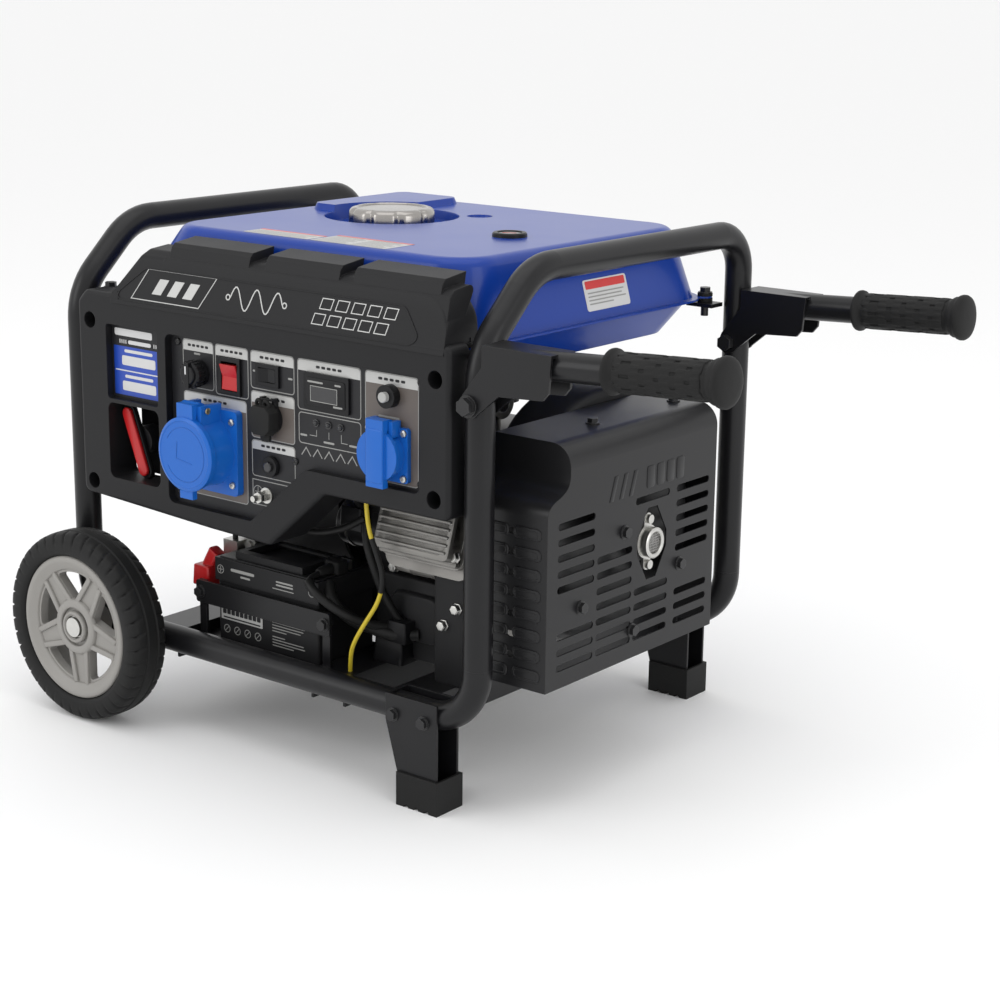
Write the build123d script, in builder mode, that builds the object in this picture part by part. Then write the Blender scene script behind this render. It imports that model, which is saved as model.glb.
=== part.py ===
"""Open-frame inverter generator on two wheels, with two fold-down lifting handles.

Millimetres. +X points to the muffler end, -Y to the control panel, +Z up, z = 0 on the ground.
Sizes below are given about the middle of the tube frame; every piece is shifted by FRAME_SHIFT on
export, so that the file origin is the middle of the overall footprint, on the ground.
"""
from build123d import *
from math import cos, pi, radians, sin, tan
import os

os.makedirs("parts", exist_ok=True)

# ---- driving dimensions ------------------------------------------------------------------------
POST_X = 270.0            # tube centres of the four posts, along the machine
POST_Y = 214.0            # and across it
TUBE_R = 14.0             # 28 mm frame tube
TUBE_WALL = 1.5
RAIL_Z = 94.0             # centre of the bottom rails
TOP_Z = 518.0             # centre of the top rails
SEAM_Z = 152.0            # welded seam between a rail's swept end and a post
WHEEL_R = 102.0
WHEEL_X = -228.0
WHEEL_W = 46.0
WHEEL_IN_Y = 234.0        # inner side of each wheel
PIVOT_Z = 404.0           # handle pivots
HANDLE_Z = 446.0          # centre of the handle tube at its inner end
GRIP_END_X = 534.0
FACE_Y = -236.0           # front face of the housing
PLATE_Y = -227.0          # front face of the control plate
CRANK_Y = 20.0            # crankshaft axis, along X
CRANK_Z = 240.0
TANK_SEAM_Z = 448.0
TANK_TOP_Z = 524.0
GUARD_X = 326.0           # outer face of the muffler guard
GAP = 0.3                 # clearance between pieces that move past each other
FIT = 0.05                # radial clearance of a shaft in its bore

FRAME_SHIFT = (GRIP_END_X + 0.9 + WHEEL_X - WHEEL_R) / 2


def save(part, name):
    """Write one finished sub-part, moved into the file's own frame."""
    shifted = part.moved(Location((-FRAME_SHIFT, 0, 0)))
    shifted.label = name
    export_step(shifted, f"parts/{name}.step")


def bent_tube(points, radii, outer, inner=0.0):
    """A round tube along straight runs joined by tangent arcs."""
    with BuildPart() as tube:
        with BuildLine() as route:
            FilletPolyline(*points, radius=radii)
        with BuildSketch(Plane(origin=route.line @ 0, z_dir=route.line % 0)):
            Circle(outer)
            if inner:
                Circle(inner, mode=Mode.SUBTRACT)
        sweep()
    return tube.part


def cord(points, radius, cord_name):
    """A lead or hose: each arc takes 0.45 of the shorter run beside it."""
    radii = []
    for before, at, after in zip(points, points[1:], points[2:]):
        run_in = Vector(*at) - Vector(*before)
        run_out = Vector(*after) - Vector(*at)
        turn = radians(run_in.get_angle(run_out))
        radii.append(0.45 * min(run_in.length, run_out.length) / tan(turn / 2))
    part = bent_tube(points, radii, radius)
    length = part.volume / (pi * radius * radius)
    print(cord_name, "length", round(length), "tightest arc", round(min(radii), 1))
    return part


def block(x_range, y_range, z_range):
    """An axis-aligned box between two corners."""
    size = [high - low for low, high in (x_range, y_range, z_range)]
    middle = [(high + low) / 2 for low, high in (x_range, y_range, z_range)]
    with BuildPart() as made:
        with Locations(tuple(middle)):
            Box(*size)
    return made.part


def rod(start, axis, length, radius, bore=0.0):
    """A round bar or sleeve from a start point along an axis."""
    with BuildPart() as made:
        with BuildSketch(Plane(origin=start, z_dir=axis)):
            Circle(radius)
            if bore:
                Circle(bore, mode=Mode.SUBTRACT)
        extrude(amount=length)
    return made.part


def outline_prism(points, plane, depth):
    """A polygon drawn on a plane and pulled out by depth."""
    with BuildPart() as made:
        with BuildSketch(plane):
            Polygon(*points, align=None)
        extrude(amount=depth)
    return made.part


def hex_bolt(seat, axis, head, shank, length):
    """A flanged hexagon bolt: the head stands on the seat, the shank goes down from it."""
    outward = Vector(*axis)
    inward = outward * -1
    with BuildPart() as bolt:
        with BuildSketch(Plane(origin=seat, z_dir=outward)):
            Circle(head * 0.68)
        extrude(amount=head * 0.12)
        with BuildSketch(Plane(origin=seat, z_dir=outward)):
            RegularPolygon(head * 0.55, 6)
        extrude(amount=head * 0.55)
        with BuildSketch(Plane(origin=seat, z_dir=inward)):
            Circle(shank)
        extrude(amount=length)
    return bolt.part


def front_plane(y):
    """Drawing plane with x to the right and z up, whose normal points to -Y."""
    return Plane(origin=(0, y, 0), x_dir=(1, 0, 0), z_dir=(0, -1, 0))


def side_plane(x):
    """Drawing plane with y to the right and z up, whose normal points to +X."""
    return Plane(origin=(x, 0, 0), x_dir=(0, 1, 0), z_dir=(1, 0, 0))


# ---- tube frame --------------------------------------------------------------------------------
RAIL_BEND = 55.0
KNEE = [(-POST_Y, 449.0), (-140.0, TOP_Z)]      # the front posts lean back between these corners
LEG_BOLT_X = [180.0, 218.0]
TANK_BOLT = (240.0, 198.0)
BRACKET_Y = 232.0                               # outer face of the wheel bracket plates

with BuildPart() as frame_rails:
    for side in (-1, 1):
        y = side * POST_Y
        corners = [(-POST_X, y, SEAM_Z), (-POST_X, y, RAIL_Z), (POST_X, y, RAIL_Z), (POST_X, y, SEAM_Z)]
        add(bent_tube(corners, [RAIL_BEND, RAIL_BEND], TUBE_R, TUBE_R - TUBE_WALL))
        plate = [side * BRACKET_Y, side * (BRACKET_Y - 6)]
        add(block((WHEEL_X - 22, WHEEL_X + 22), (min(plate), max(plate)), (84, 126)))
    for x in LEG_BOLT_X:
        add(rod((x, -260, RAIL_Z - 4), (0, 1, 0), 520, 3.1), mode=Mode.SUBTRACT)
    add(rod((WHEEL_X, -260, WHEEL_R), (0, 1, 0), 520, 6.0), mode=Mode.SUBTRACT)
save(frame_rails.part, "frame_rails")

with BuildPart() as frame_hoops:
    for side in (-1, 1):
        x = side * POST_X
        corners = [(x, -POST_Y, SEAM_Z)] + [(x, y, z) for y, z in KNEE]
        corners += [(x, POST_Y, TOP_Z), (x, POST_Y, SEAM_Z)]
        add(bent_tube(corners, [70.0, 70.0, 40.0], TUBE_R, TUBE_R - TUBE_WALL))
        for end in (-1, 1):
            tab_x = sorted([side * 226.0, side * 257.5])
            tab_y = sorted([end * 184.0, end * 205.0])
            add(block(tab_x, tab_y, (440, 444)))
            add(rod((side * TANK_BOLT[0], end * TANK_BOLT[1], 430), (0, 0, 1), 30, 4.1), mode=Mode.SUBTRACT)
    add(rod((POST_X, -260, PIVOT_Z), (0, 1, 0), 520, 5.0), mode=Mode.SUBTRACT)
save(frame_hoops.part, "frame_hoops")

CROSS_X = [-165.0, 72.0, 172.0]
CROSS_TOP = 100.0
MEMBER_W = 46.0
BATTERY = ((-104.0, 43.0), (-188.0, -101.0), (88.0, 184.0))
CLAMP_X = (-119.0, 57.0)
CLAMP_Z = 145.0
LEG_TOP = RAIL_Z + TUBE_R + 2
LEG_OUT = POST_Y + TUBE_R + 2.5
LEG_IN = POST_Y - TUBE_R - 2.5

with BuildPart() as base_members:
    for x in CROSS_X:
        reach = LEG_IN if x == CROSS_X[-1] else POST_Y - 8
        add(block((x - MEMBER_W / 2, x + MEMBER_W / 2), (-reach, reach), (CROSS_TOP - 30, CROSS_TOP)))
        add(block((x - MEMBER_W / 2 + 3, x + MEMBER_W / 2 - 3), (-POST_Y, POST_Y), (60, CROSS_TOP - 3)),
            mode=Mode.SUBTRACT)
    add(block((-142.5, 49.5), (-190, -99), (85, 88)))
    add(block((-142.5, 49.5), (-192, -190), (85, 98)))
    add(block((-142.5, 49.5), (-99, -97), (85, 98)))
    for x in CLAMP_X:
        add(block((x - 5, x + 5), (-192, -189), (85, CLAMP_Z + 12)))
        add(rod((x, -195, CLAMP_Z), (0, 1, 0), 20, 3.1), mode=Mode.SUBTRACT)
    for side in (-1, 1):
        add(rod((-260, side * POST_Y, RAIL_Z), (1, 0, 0), 520, TUBE_R), mode=Mode.SUBTRACT)
save(base_members.part, "base_members")

# ---- legs --------------------------------------------------------------------------------------
LEG_FOOT_Z = 8.0

with BuildPart() as legs:
    for side in (-1, 1):
        low_y, high_y = sorted([side * LEG_OUT, side * LEG_IN])
        profile = [(170, LEG_TOP), (234, LEG_TOP), (234, LEG_FOOT_Z), (192, LEG_FOOT_Z), (170, 84)]
        inside = [(173, LEG_TOP + 1), (235, LEG_TOP + 1), (235, LEG_FOOT_Z - 1), (195, LEG_FOOT_Z - 1),
                  (173, 84)]
        add(outline_prism(profile, front_plane(high_y), high_y - low_y))
        add(outline_prism(inside, front_plane(high_y - 2.5), high_y - low_y - 5), mode=Mode.SUBTRACT)
        add(rod((160, side * POST_Y, RAIL_Z), (1, 0, 0), 80, TUBE_R), mode=Mode.SUBTRACT)
    for x in LEG_BOLT_X:
        add(rod((x, -260, RAIL_Z - 4), (0, 1, 0), 520, 3.1), mode=Mode.SUBTRACT)
save(legs.part, "legs")

with BuildPart() as foot_caps:
    for side in (-1, 1):
        low_y, high_y = sorted([side * (LEG_OUT + 3), side * (LEG_IN - 3)])
        add(block((186, 237), (low_y, high_y), (0, 34)))
        with Locations((211.5, side * POST_Y, 0)):
            with GridLocations(12.75, 0, 3, 1):
                Cylinder(2.6, 60, rotation=(90, 0, 0), mode=Mode.SUBTRACT)
        low_y, high_y = sorted([side * LEG_OUT, side * LEG_IN])
        add(outline_prism([(183.6, 36), (234, 36), (234, LEG_FOOT_Z), (192, LEG_FOOT_Z)],
                          front_plane(high_y), high_y - low_y), mode=Mode.SUBTRACT)
save(foot_caps.part, "foot_caps")

# ---- wheels ------------------------------------------------------------------------------------
RIM_R = 77.0
HUB_R = 17.0
AXLE_R = 6.0


def wheel_pieces(side):
    """The tyre and the moulded rim of one wheel; side is -1 at the front, +1 at the back."""
    inner = side * WHEEL_IN_Y
    outer = side * (WHEEL_IN_Y + WHEEL_W)
    middle = (inner + outer) / 2
    half = WHEEL_W / 2
    section = Plane(origin=(WHEEL_X, middle, WHEEL_R), x_dir=(0, 0, 1), z_dir=(1, 0, 0))
    with BuildPart() as tyre:
        with BuildSketch(section):
            with BuildLine():
                Polyline((RIM_R, -half + 4), (RIM_R + 2, -half + 1), (90, -half), (WHEEL_R - 6, -half + 2))
                ThreePointArc((WHEEL_R - 6, -half + 2), (WHEEL_R, 0), (WHEEL_R - 6, half - 2))
                Polyline((WHEEL_R - 6, half - 2), (90, half), (RIM_R + 2, half - 1), (RIM_R, half - 4))
                Line((RIM_R, half - 4), (RIM_R, -half + 4))
            make_face()
        revolve(axis=Axis((WHEEL_X, middle, WHEEL_R), (0, 1, 0)))
    web_y = middle + side * 9
    with BuildSketch() as window:
        with BuildLine():
            Line((27, 0), (54, 24))
            ThreePointArc((54, 24), (59, 0), (54, -24))
            Line((54, -24), (27, 0))
        make_face()
        fillet(window.vertices(), 3)
    with BuildPart() as rim:
        with BuildSketch(section):
            Polygon((RIM_R, -half + 4), (RIM_R, half - 4), (70, half - 3), (66, half - 8), (66, -half + 8),
                    (70, -half + 3), align=None)
        revolve(axis=Axis((WHEEL_X, middle, WHEEL_R), (0, 1, 0)))
        add(rod((WHEEL_X, middle - 19, WHEEL_R), (0, 1, 0), 38, HUB_R))
        web = Plane(origin=(WHEEL_X, web_y - 5, WHEEL_R), x_dir=(1, 0, 0), z_dir=(0, 1, 0))
        with BuildSketch(web):
            Circle(67)
            with PolarLocations(0, 5, start_angle=-23):
                add(window.sketch, mode=Mode.SUBTRACT)
        extrude(amount=10)
        add(rod((WHEEL_X, middle - 30, WHEEL_R), (0, 1, 0), 60, AXLE_R + FIT), mode=Mode.SUBTRACT)
        add(rod((WHEEL_X, middle + side * 14, WHEEL_R), (0, side, 0), 10, 12.5), mode=Mode.SUBTRACT)
    return tyre.part, rim.part


for side, place in ((-1, "front"), (1, "back")):
    tyre_part, rim_part = wheel_pieces(side)
    save(tyre_part, f"tyre_{place}")
    save(rim_part, f"rim_{place}")

with BuildPart() as axle_bolts:
    for side in (-1, 1):
        end_y = WHEEL_IN_Y + WHEEL_W / 2 + 14.3
        add(rod((WHEEL_X, side * (BRACKET_Y - 6.5), WHEEL_R), (0, side, 0), end_y - BRACKET_Y + 8, AXLE_R))
        add(rod((WHEEL_X, side * end_y, WHEEL_R), (0, side, 0), 1.6, 11.5))
        add(rod((WHEEL_X, side * (end_y + 1.6), WHEEL_R), (0, side, 0), 4.5, 10.5))
save(axle_bolts.part, "axle_bolts")

# ---- lifting handles ---------------------------------------------------------------------------
EAR_IN = TUBE_R + 0.4
EAR_T = 3.0
HANDLE_TILT = 2.9                                # the handle rises by this angle, in degrees
HANDLE_START_X = 296.0
GRIP_START_X = 414.0
TILT_DIR = (cos(radians(HANDLE_TILT)), 0, sin(radians(HANDLE_TILT)))


def along_handle(x, side):
    """The point of the handle axis above a given x."""
    return (x, side * POST_Y, HANDLE_Z + (x - HANDLE_START_X) * tan(radians(HANDLE_TILT)))


def handle_pieces(side):
    """The folded bracket with its tube, and the rubber grip."""
    y = side * POST_Y
    with BuildPart() as handle:
        with BuildSketch(front_plane(y + EAR_IN + EAR_T)):
            with BuildLine():
                Polyline((284.6, 461), (362, 461), (359, 427), (353, 420), (304, 417), (280.5, 397.5))
                ThreePointArc((280.5, 397.5), (267, 393.0), (259.5, 404.0))
                Polyline((259.5, 404.0), (263, 413.5), (284.6, 441), (284.6, 461))
            make_face()
        extrude(amount=2 * (EAR_IN + EAR_T))
        add(block((250, 370), (y - EAR_IN, y + EAR_IN), (380, 458)), mode=Mode.SUBTRACT)
        add(rod((POST_X, y - 30, PIVOT_Z), (0, 1, 0), 60, 5.0 + FIT), mode=Mode.SUBTRACT)
        length = (GRIP_END_X - HANDLE_START_X) / cos(radians(HANDLE_TILT)) - 8
        add(rod(along_handle(HANDLE_START_X, side), TILT_DIR, length, TUBE_R - 0.5, TUBE_R - 2.0))
        add(block((HANDLE_START_X, 352), (y - EAR_IN, y - TUBE_R + 2), (HANDLE_Z - 3, HANDLE_Z + 5)))
        add(block((HANDLE_START_X, 352), (y + TUBE_R - 2, y + EAR_IN), (HANDLE_Z - 3, HANDLE_Z + 5)))
        add(rod(along_handle(HANDLE_START_X - 2, side), TILT_DIR, 90, TUBE_R - 2.0), mode=Mode.SUBTRACT)
    cap_x = GRIP_END_X - 8 * cos(radians(HANDLE_TILT))
    sleeve = (cap_x - GRIP_START_X) / cos(radians(HANDLE_TILT))
    start = along_handle(GRIP_START_X, side)
    with BuildPart() as grip:
        add(rod(along_handle(cap_x, side), TILT_DIR, 8, 22))
        fillet(grip.faces().sort_by(Axis(start, TILT_DIR))[-1].edges(), 5)
        add(rod(start, TILT_DIR, sleeve, 17.5, TUBE_R - 0.5))
        add(rod(start, TILT_DIR, 5, 20.5, TUBE_R - 0.5))
        add(rod(along_handle(cap_x - 3, side), TILT_DIR, 4, 20.5, TUBE_R - 0.5))
    return handle.part, grip.part


for side, place in ((-1, "front"), (1, "back")):
    handle_part, grip_part = handle_pieces(side)
    save(handle_part, f"handle_{place}")
    save(grip_part, f"grip_{place}")

# ---- front housing -----------------------------------------------------------------------------
HOUSING_X = (-250.0, 252.0)
HOUSING_BACK = -186.0
SHOULDER_Z = 456.0
WALL = 3.0
RIGHT_SILL_Z = 293.0
WINDOW_TOP = 424.0
BLOCKS_X = [(-120.0, -10.0), (12.0, 108.0), (126.0, 232.0)]
DEEP_HOLES = [(-231.0, 425.0), (-233.0, 254.0), (235.0, 424.0), (234.0, 312.0)]
PLATE_WINDOW = [(-119, 250), (-2, 250), (72, 314), (217, 314), (217, WINDOW_TOP), (-119, WINDOW_TOP)]
RECOIL_WINDOW = [(-207, 262), (-131, 262), (-131, 342), (-207, 342)]
LABEL_WINDOW = [(-207, 346), (-131, 346), (-131, WINDOW_TOP), (-207, WINDOW_TOP)]
HOUSING_OUTLINE = [(HOUSING_X[0], 240), (-60, 231), (22, 229), (96, RIGHT_SILL_Z),
                   (HOUSING_X[1], RIGHT_SILL_Z), (HOUSING_X[1], SHOULDER_Z), (-238, SHOULDER_Z),
                   (HOUSING_X[0], 444)]


def rounded_outline(points, plane, depth, radius, grow=0.0):
    """A prism whose outline has rounded corners, optionally grown outwards."""
    with BuildPart() as made:
        with BuildSketch(plane) as drawn:
            Polygon(*points, align=None)
            fillet(drawn.vertices(), radius)
            if grow:
                offset(amount=grow, mode=Mode.REPLACE)
        extrude(amount=depth)
    return made.part


DEPTH = HOUSING_BACK - FACE_Y
VISOR_SECTION = [(FACE_Y, 448), (-226, 498), (-220, 504), (-190, 508), (-206, 474), (-208, 448)]
BLOCK_SECTION = [(-228, 488), (-222, 509), (-218, 513), (-189, 517), (-192, 500), (-206, 488)]

with BuildPart() as housing_skin:
    add(rounded_outline(HOUSING_OUTLINE, front_plane(HOUSING_BACK), DEPTH, 9))
    fillet(housing_skin.faces().sort_by(Axis.Y)[0].edges(), 5)
    add(rounded_outline(HOUSING_OUTLINE, front_plane(HOUSING_BACK + 1), DEPTH + 1 - WALL, 7, -WALL),
        mode=Mode.SUBTRACT)
    add(block((-260, 260), (-208, -180), (438, 460)), mode=Mode.SUBTRACT)

with BuildPart() as visor:
    with BuildSketch(side_plane(-196)):
        Polygon(*VISOR_SECTION, align=None)
    extrude(amount=440)
    add(outline_prism([(-197, 440), (-197, 530), (-146, 530), (-146, 512), (-197, 456)],
                      front_plane(-180), 80), mode=Mode.SUBTRACT)
    fillet(visor.edges().filter_by(Axis.X).sort_by(Axis.Z)[-2:], 5)
    for low_x, high_x in BLOCKS_X:
        add(outline_prism(BLOCK_SECTION, side_plane(low_x), high_x - low_x))

with BuildPart() as visor_hollow:
    with BuildSketch(side_plane(-188)):
        Polygon((FACE_Y + 4, 440), (FACE_Y + 4, 449), (-223, 497), (-218, 500), (-197, 503), (-210, 475),
                (-212, 440), align=None)
    extrude(amount=428)
    add(outline_prism([(-200, 430), (-200, 530), (-138, 530), (-138, 512), (-189, 456)],
                      front_plane(-180), 80), mode=Mode.SUBTRACT)

with BuildPart() as panel_housing:
    add(housing_skin.part)
    add(visor.part)
    add(visor_hollow.part, mode=Mode.SUBTRACT)
    add(rounded_outline(PLATE_WINDOW, front_plane(PLATE_Y), 30, 8, 3))
    add(rounded_outline(PLATE_WINDOW, front_plane(HOUSING_BACK), 60, 8), mode=Mode.SUBTRACT)
    add(rounded_outline(LABEL_WINDOW, front_plane(PLATE_Y + 3), 20, 4, 3))
    add(rounded_outline(RECOIL_WINDOW, front_plane(-200), 40, 8, 3))
    add(rounded_outline(LABEL_WINDOW, front_plane(PLATE_Y), 60, 4), mode=Mode.SUBTRACT)
    add(rounded_outline(RECOIL_WINDOW, front_plane(HOUSING_BACK), 70, 8), mode=Mode.SUBTRACT)
    for x, z in DEEP_HOLES:
        add(rod((x, FACE_Y + 1, z), (0, 1, 0), 29, 11.5))
        add(rod((x, FACE_Y - 1, z), (0, 1, 0), 26, 8.5), mode=Mode.SUBTRACT)
        add(rod((x, FACE_Y - 1, z), (0, 1, 0), 40, 3.1), mode=Mode.SUBTRACT)
    add(block((-260, 260), (-260, FACE_Y), (430, 448)), mode=Mode.SUBTRACT)
    add(block((-260, 260), (-270, FACE_Y - 0.001), (200, 540)), mode=Mode.SUBTRACT)
save(panel_housing.part, "panel_housing")

# ---- control plate and what it carries ---------------------------------------------------------
KNOB = (-78.0, 388.0)
ROCKER = (-35.0, 390.0)
ECO = (17.0, 398.0)
DISPLAY = (95.0, 391.0)
LAMPS = [(80.0, 360.0), (96.0, 360.0), (112.0, 360.0)]
BREAKER = (175.0, 400.0)
SMALL_SOCKET = (173.0, 346.0)
BIG_SOCKET = (-60.0, 314.0)
OUTLET = (20.0, 356.0)
RESET = (20.0, 308.0)
EARTH = (12.0, 277.0)
PLATE_T = 2.0
PLATE_SCREWS = [(-109, 416), (-110, 262), (52, 318), (211, 417), (211, 321)]

with BuildPart() as control_plate:
    add(rounded_outline(PLATE_WINDOW, front_plane(PLATE_Y + PLATE_T), PLATE_T, 8, 3))
    for (x, z), width, height in ((ROCKER, 26, 32), (ECO, 27, 18), (DISPLAY, 50, 30)):
        add(block((x - width / 2, x + width / 2), (-230, -220), (z - height / 2, z + height / 2)),
            mode=Mode.SUBTRACT)
    round_holes = [(KNOB, 3.0 + FIT), (BREAKER, 8.0), (SMALL_SOCKET, 20.0), (BIG_SOCKET, 30.0),
                   (OUTLET, 12.0), (RESET, 7.0), (EARTH, 3.0)]
    round_holes += [(lamp, 3.0) for lamp in LAMPS] + [(screw, 2.0) for screw in PLATE_SCREWS]
    for (x, z), radius in round_holes:
        add(rod((x, -230, z), (0, 1, 0), 10, radius), mode=Mode.SUBTRACT)
save(control_plate.part, "control_plate")

with BuildPart() as display_module:
    x, z = DISPLAY
    add(block((x - 29, x + 29), (PLATE_Y - 3, PLATE_Y), (z - 18, z + 18)))
    fillet(display_module.edges().filter_by(Axis.Y), 3)
    add(block((x - 25, x + 25), (PLATE_Y, PLATE_Y + 16), (z - 15, z + 15)))
    add(block((x - 16, x + 16), (PLATE_Y - 4, PLATE_Y - 2), (z - 7, z + 7)), mode=Mode.SUBTRACT)
save(display_module.part, "display_module")

with BuildPart() as status_lamps:
    for x, z in LAMPS:
        add(rod((x, PLATE_Y + 8, z), (0, -1, 0), 8, 3.0))
        add(rod((x, PLATE_Y, z), (0, -1, 0), 1.5, 3.8))
        with Locations((x, PLATE_Y - 1.5, z)):
            Sphere(2.6)
save(status_lamps.part, "status_lamps")

with BuildPart() as switch_bodies:
    for (x, z), width, height in ((ROCKER, 30, 37), (ECO, 31, 22)):
        add(block((x - width / 2, x + width / 2), (PLATE_Y - 3, PLATE_Y), (z - height / 2, z + height / 2)))
        add(block((x - width / 2 + 2, x + width / 2 - 2), (PLATE_Y, PLATE_Y + 22),
                  (z - height / 2 + 2.5, z + height / 2 - 2.5)))
        add(block((x - width / 2 + 4, x + width / 2 - 4), (PLATE_Y - 4, PLATE_Y + 14),
                  (z - height / 2 + 4, z + height / 2 - 4)), mode=Mode.SUBTRACT)
    for (x, z), radius, height in ((BREAKER, 11.0, 9.0), (RESET, 10.0, 5.0)):
        add(rod((x, PLATE_Y, z), (0, -1, 0), height, radius))
        add(rod((x, PLATE_Y, z), (0, 1, 0), 20, radius - 3))
        add(rod((x, PLATE_Y - 20, z), (0, 1, 0), 34, 5.0 + FIT), mode=Mode.SUBTRACT)
save(switch_bodies.part, "switch_bodies")


def rocker_piece(centre, half_width, half_length, upright):
    """A rocker whose two faces meet in a shallow valley, resting with its upper or left end out."""
    x, z = centre
    pivot_y = PLATE_Y + 3
    tilt = 7.0
    section = [(-half_length, -7.0), (0, -4.6), (half_length, -7.0), (half_length - 2.5, 4), (0, 8),
               (2.5 - half_length, 4)]
    if upright:
        plane = Plane(origin=(x - half_width, pivot_y, z), x_dir=(0, 0, 1), z_dir=(1, 0, 0))
        outline = [(along, -out) for along, out in section]
        axis = Axis((x, pivot_y, z), (1, 0, 0))
    else:
        plane = Plane(origin=(x, pivot_y, z - half_width), x_dir=(1, 0, 0), z_dir=(0, 0, 1))
        outline = section
        axis = Axis((x, pivot_y, z), (0, 0, 1))
    with BuildPart() as piece:
        with BuildSketch(plane):
            Polygon(*outline, align=None)
        extrude(amount=2 * half_width)
    return piece.part.rotate(axis, tilt)


save(rocker_piece(ROCKER, 10.6, 13.0, True), "engine_rocker")
save(rocker_piece(ECO, 6.6, 10.2, False), "eco_rocker")

with BuildPart() as fuel_knob:
    x, z = KNOB
    add(rod((x, PLATE_Y - GAP, z), (0, -1, 0), 5, 13.0))
    add(rod((x, PLATE_Y - 5, z), (0, -1, 0), 14, 9.5))
    fillet(fuel_knob.faces().sort_by(Axis.Y)[0].edges(), 1.5)
    add(block((x - 3, x + 3), (PLATE_Y - 19.5, PLATE_Y - 5), (z - 12.5, z + 12.5)))
    add(rod((x, PLATE_Y - 2, z), (0, 1, 0), 18, 3.0))
save(fuel_knob.part, "fuel_knob")

for name, (x, z), out in (("breaker_button", BREAKER, 14.0), ("reset_button", RESET, 8.0)):
    with BuildPart() as button:
        add(rod((x, PLATE_Y + 8, z), (0, -1, 0), out + 8, 5.0))
        fillet(button.faces().sort_by(Axis.Y)[0].edges(), 1.2)
    save(button.part, name)

SMALL_HINGE_Z = SMALL_SOCKET[1] + 29.0
BIG_HINGE_Z = BIG_SOCKET[1] + 45.0
SMALL_LID_Y = PLATE_Y - 15.0
BIG_LID_Y = PLATE_Y - 34.0

with BuildPart() as small_socket:
    x, z = SMALL_SOCKET
    add(block((x - 26, x + 26), (PLATE_Y - 5, PLATE_Y), (z - 26, z + 26)))
    fillet(small_socket.edges().filter_by(Axis.Y), 3)
    add(rod((x, PLATE_Y - 5, z), (0, -1, 0), 9.7, 22.0))
    add(rod((x, PLATE_Y, z), (0, 1, 0), 26, 20.0))
    add(rod((x, PLATE_Y - 15, z), (0, 1, 0), 14, 19.4), mode=Mode.SUBTRACT)
    add(block((x - 16, x - 11), (PLATE_Y - 14.7, PLATE_Y - 3), (z + 18, SMALL_HINGE_Z + 4)))
    add(block((x + 11, x + 16), (PLATE_Y - 14.7, PLATE_Y - 3), (z + 18, SMALL_HINGE_Z + 4)))
    add(rod((x - 15, SMALL_LID_Y + 4, SMALL_HINGE_Z), (1, 0, 0), 30, 1.5))
    for pin_x in (-9.5, 9.5):
        add(rod((x + pin_x, PLATE_Y - 4, z), (0, 1, 0), 10, 2.6), mode=Mode.SUBTRACT)
save(small_socket.part, "small_socket")

with BuildPart() as small_lid:
    x, z = SMALL_SOCKET
    add(rod((x, SMALL_LID_Y, z), (0, -1, 0), 4, 24.5))
    add(block((x - 10.5, x + 10.5), (SMALL_LID_Y - 7, SMALL_LID_Y), (z - 30, SMALL_HINGE_Z)))
    add(rod((x - 10.5, SMALL_LID_Y + 4, SMALL_HINGE_Z), (1, 0, 0), 21, 5.0))
    add(block((x - 10.5, x + 10.5), (SMALL_LID_Y - 7, SMALL_LID_Y + 4),
              (SMALL_HINGE_Z - 4, SMALL_HINGE_Z + 5.4)))
    add(rod((x - 20, SMALL_LID_Y + 4, SMALL_HINGE_Z), (1, 0, 0), 40, 1.5 + FIT), mode=Mode.SUBTRACT)
save(small_lid.part, "small_socket_lid")

with BuildPart() as big_socket:
    x, z = BIG_SOCKET
    add(block((x - 40, x + 40), (PLATE_Y - 8, PLATE_Y), (z - 43, z + 43)))
    fillet(big_socket.edges().filter_by(Axis.Y), 5)
    with BuildSketch(Plane(origin=(x, PLATE_Y - 8, z), x_dir=(1, 0, 0), z_dir=(0, -1, 0))):
        Circle(36)
    extrude(amount=25.7, taper=4)
    add(rod((x, PLATE_Y, z), (0, 1, 0), 36, 30.0))
    add(block((x - 17, x - 11.3), (PLATE_Y - 33.7, PLATE_Y - 6), (z + 20, BIG_HINGE_Z + 4)))
    add(block((x + 11.3, x + 17), (PLATE_Y - 33.7, PLATE_Y - 6), (z + 20, BIG_HINGE_Z + 4)))
    add(rod((x, PLATE_Y - 50, z), (0, 1, 0), 62, 24.0), mode=Mode.SUBTRACT)
    add(rod((x - 18, BIG_LID_Y + 5, BIG_HINGE_Z), (1, 0, 0), 36, 2.0))
save(big_socket.part, "big_socket")

with BuildPart() as big_lid:
    x, z = BIG_SOCKET
    add(rod((x, BIG_LID_Y, z), (0, -1, 0), 7, 37.0))
    fillet(big_lid.faces().sort_by(Axis.Y)[0].edges(), 3)
    add(rod((x, BIG_LID_Y, z), (0, 1, 0), 6, 23.2, 20.5))
    add(block((x - 9, x + 9), (BIG_LID_Y - 6, BIG_LID_Y), (z - 45, z - 30)))
    add(block((x - 11, x + 11), (BIG_LID_Y - 6, BIG_LID_Y), (z + 20, BIG_HINGE_Z)))
    add(rod((x - 11, BIG_LID_Y + 5, BIG_HINGE_Z), (1, 0, 0), 22, 7.0))
    add(block((x - 11, x + 11), (BIG_LID_Y - 6, BIG_LID_Y + 5), (BIG_HINGE_Z - 4, BIG_HINGE_Z + 6)))
    add(rod((x - 20, BIG_LID_Y + 5, BIG_HINGE_Z), (1, 0, 0), 40, 2.0 + FIT), mode=Mode.SUBTRACT)
save(big_lid.part, "big_socket_lid")

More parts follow.
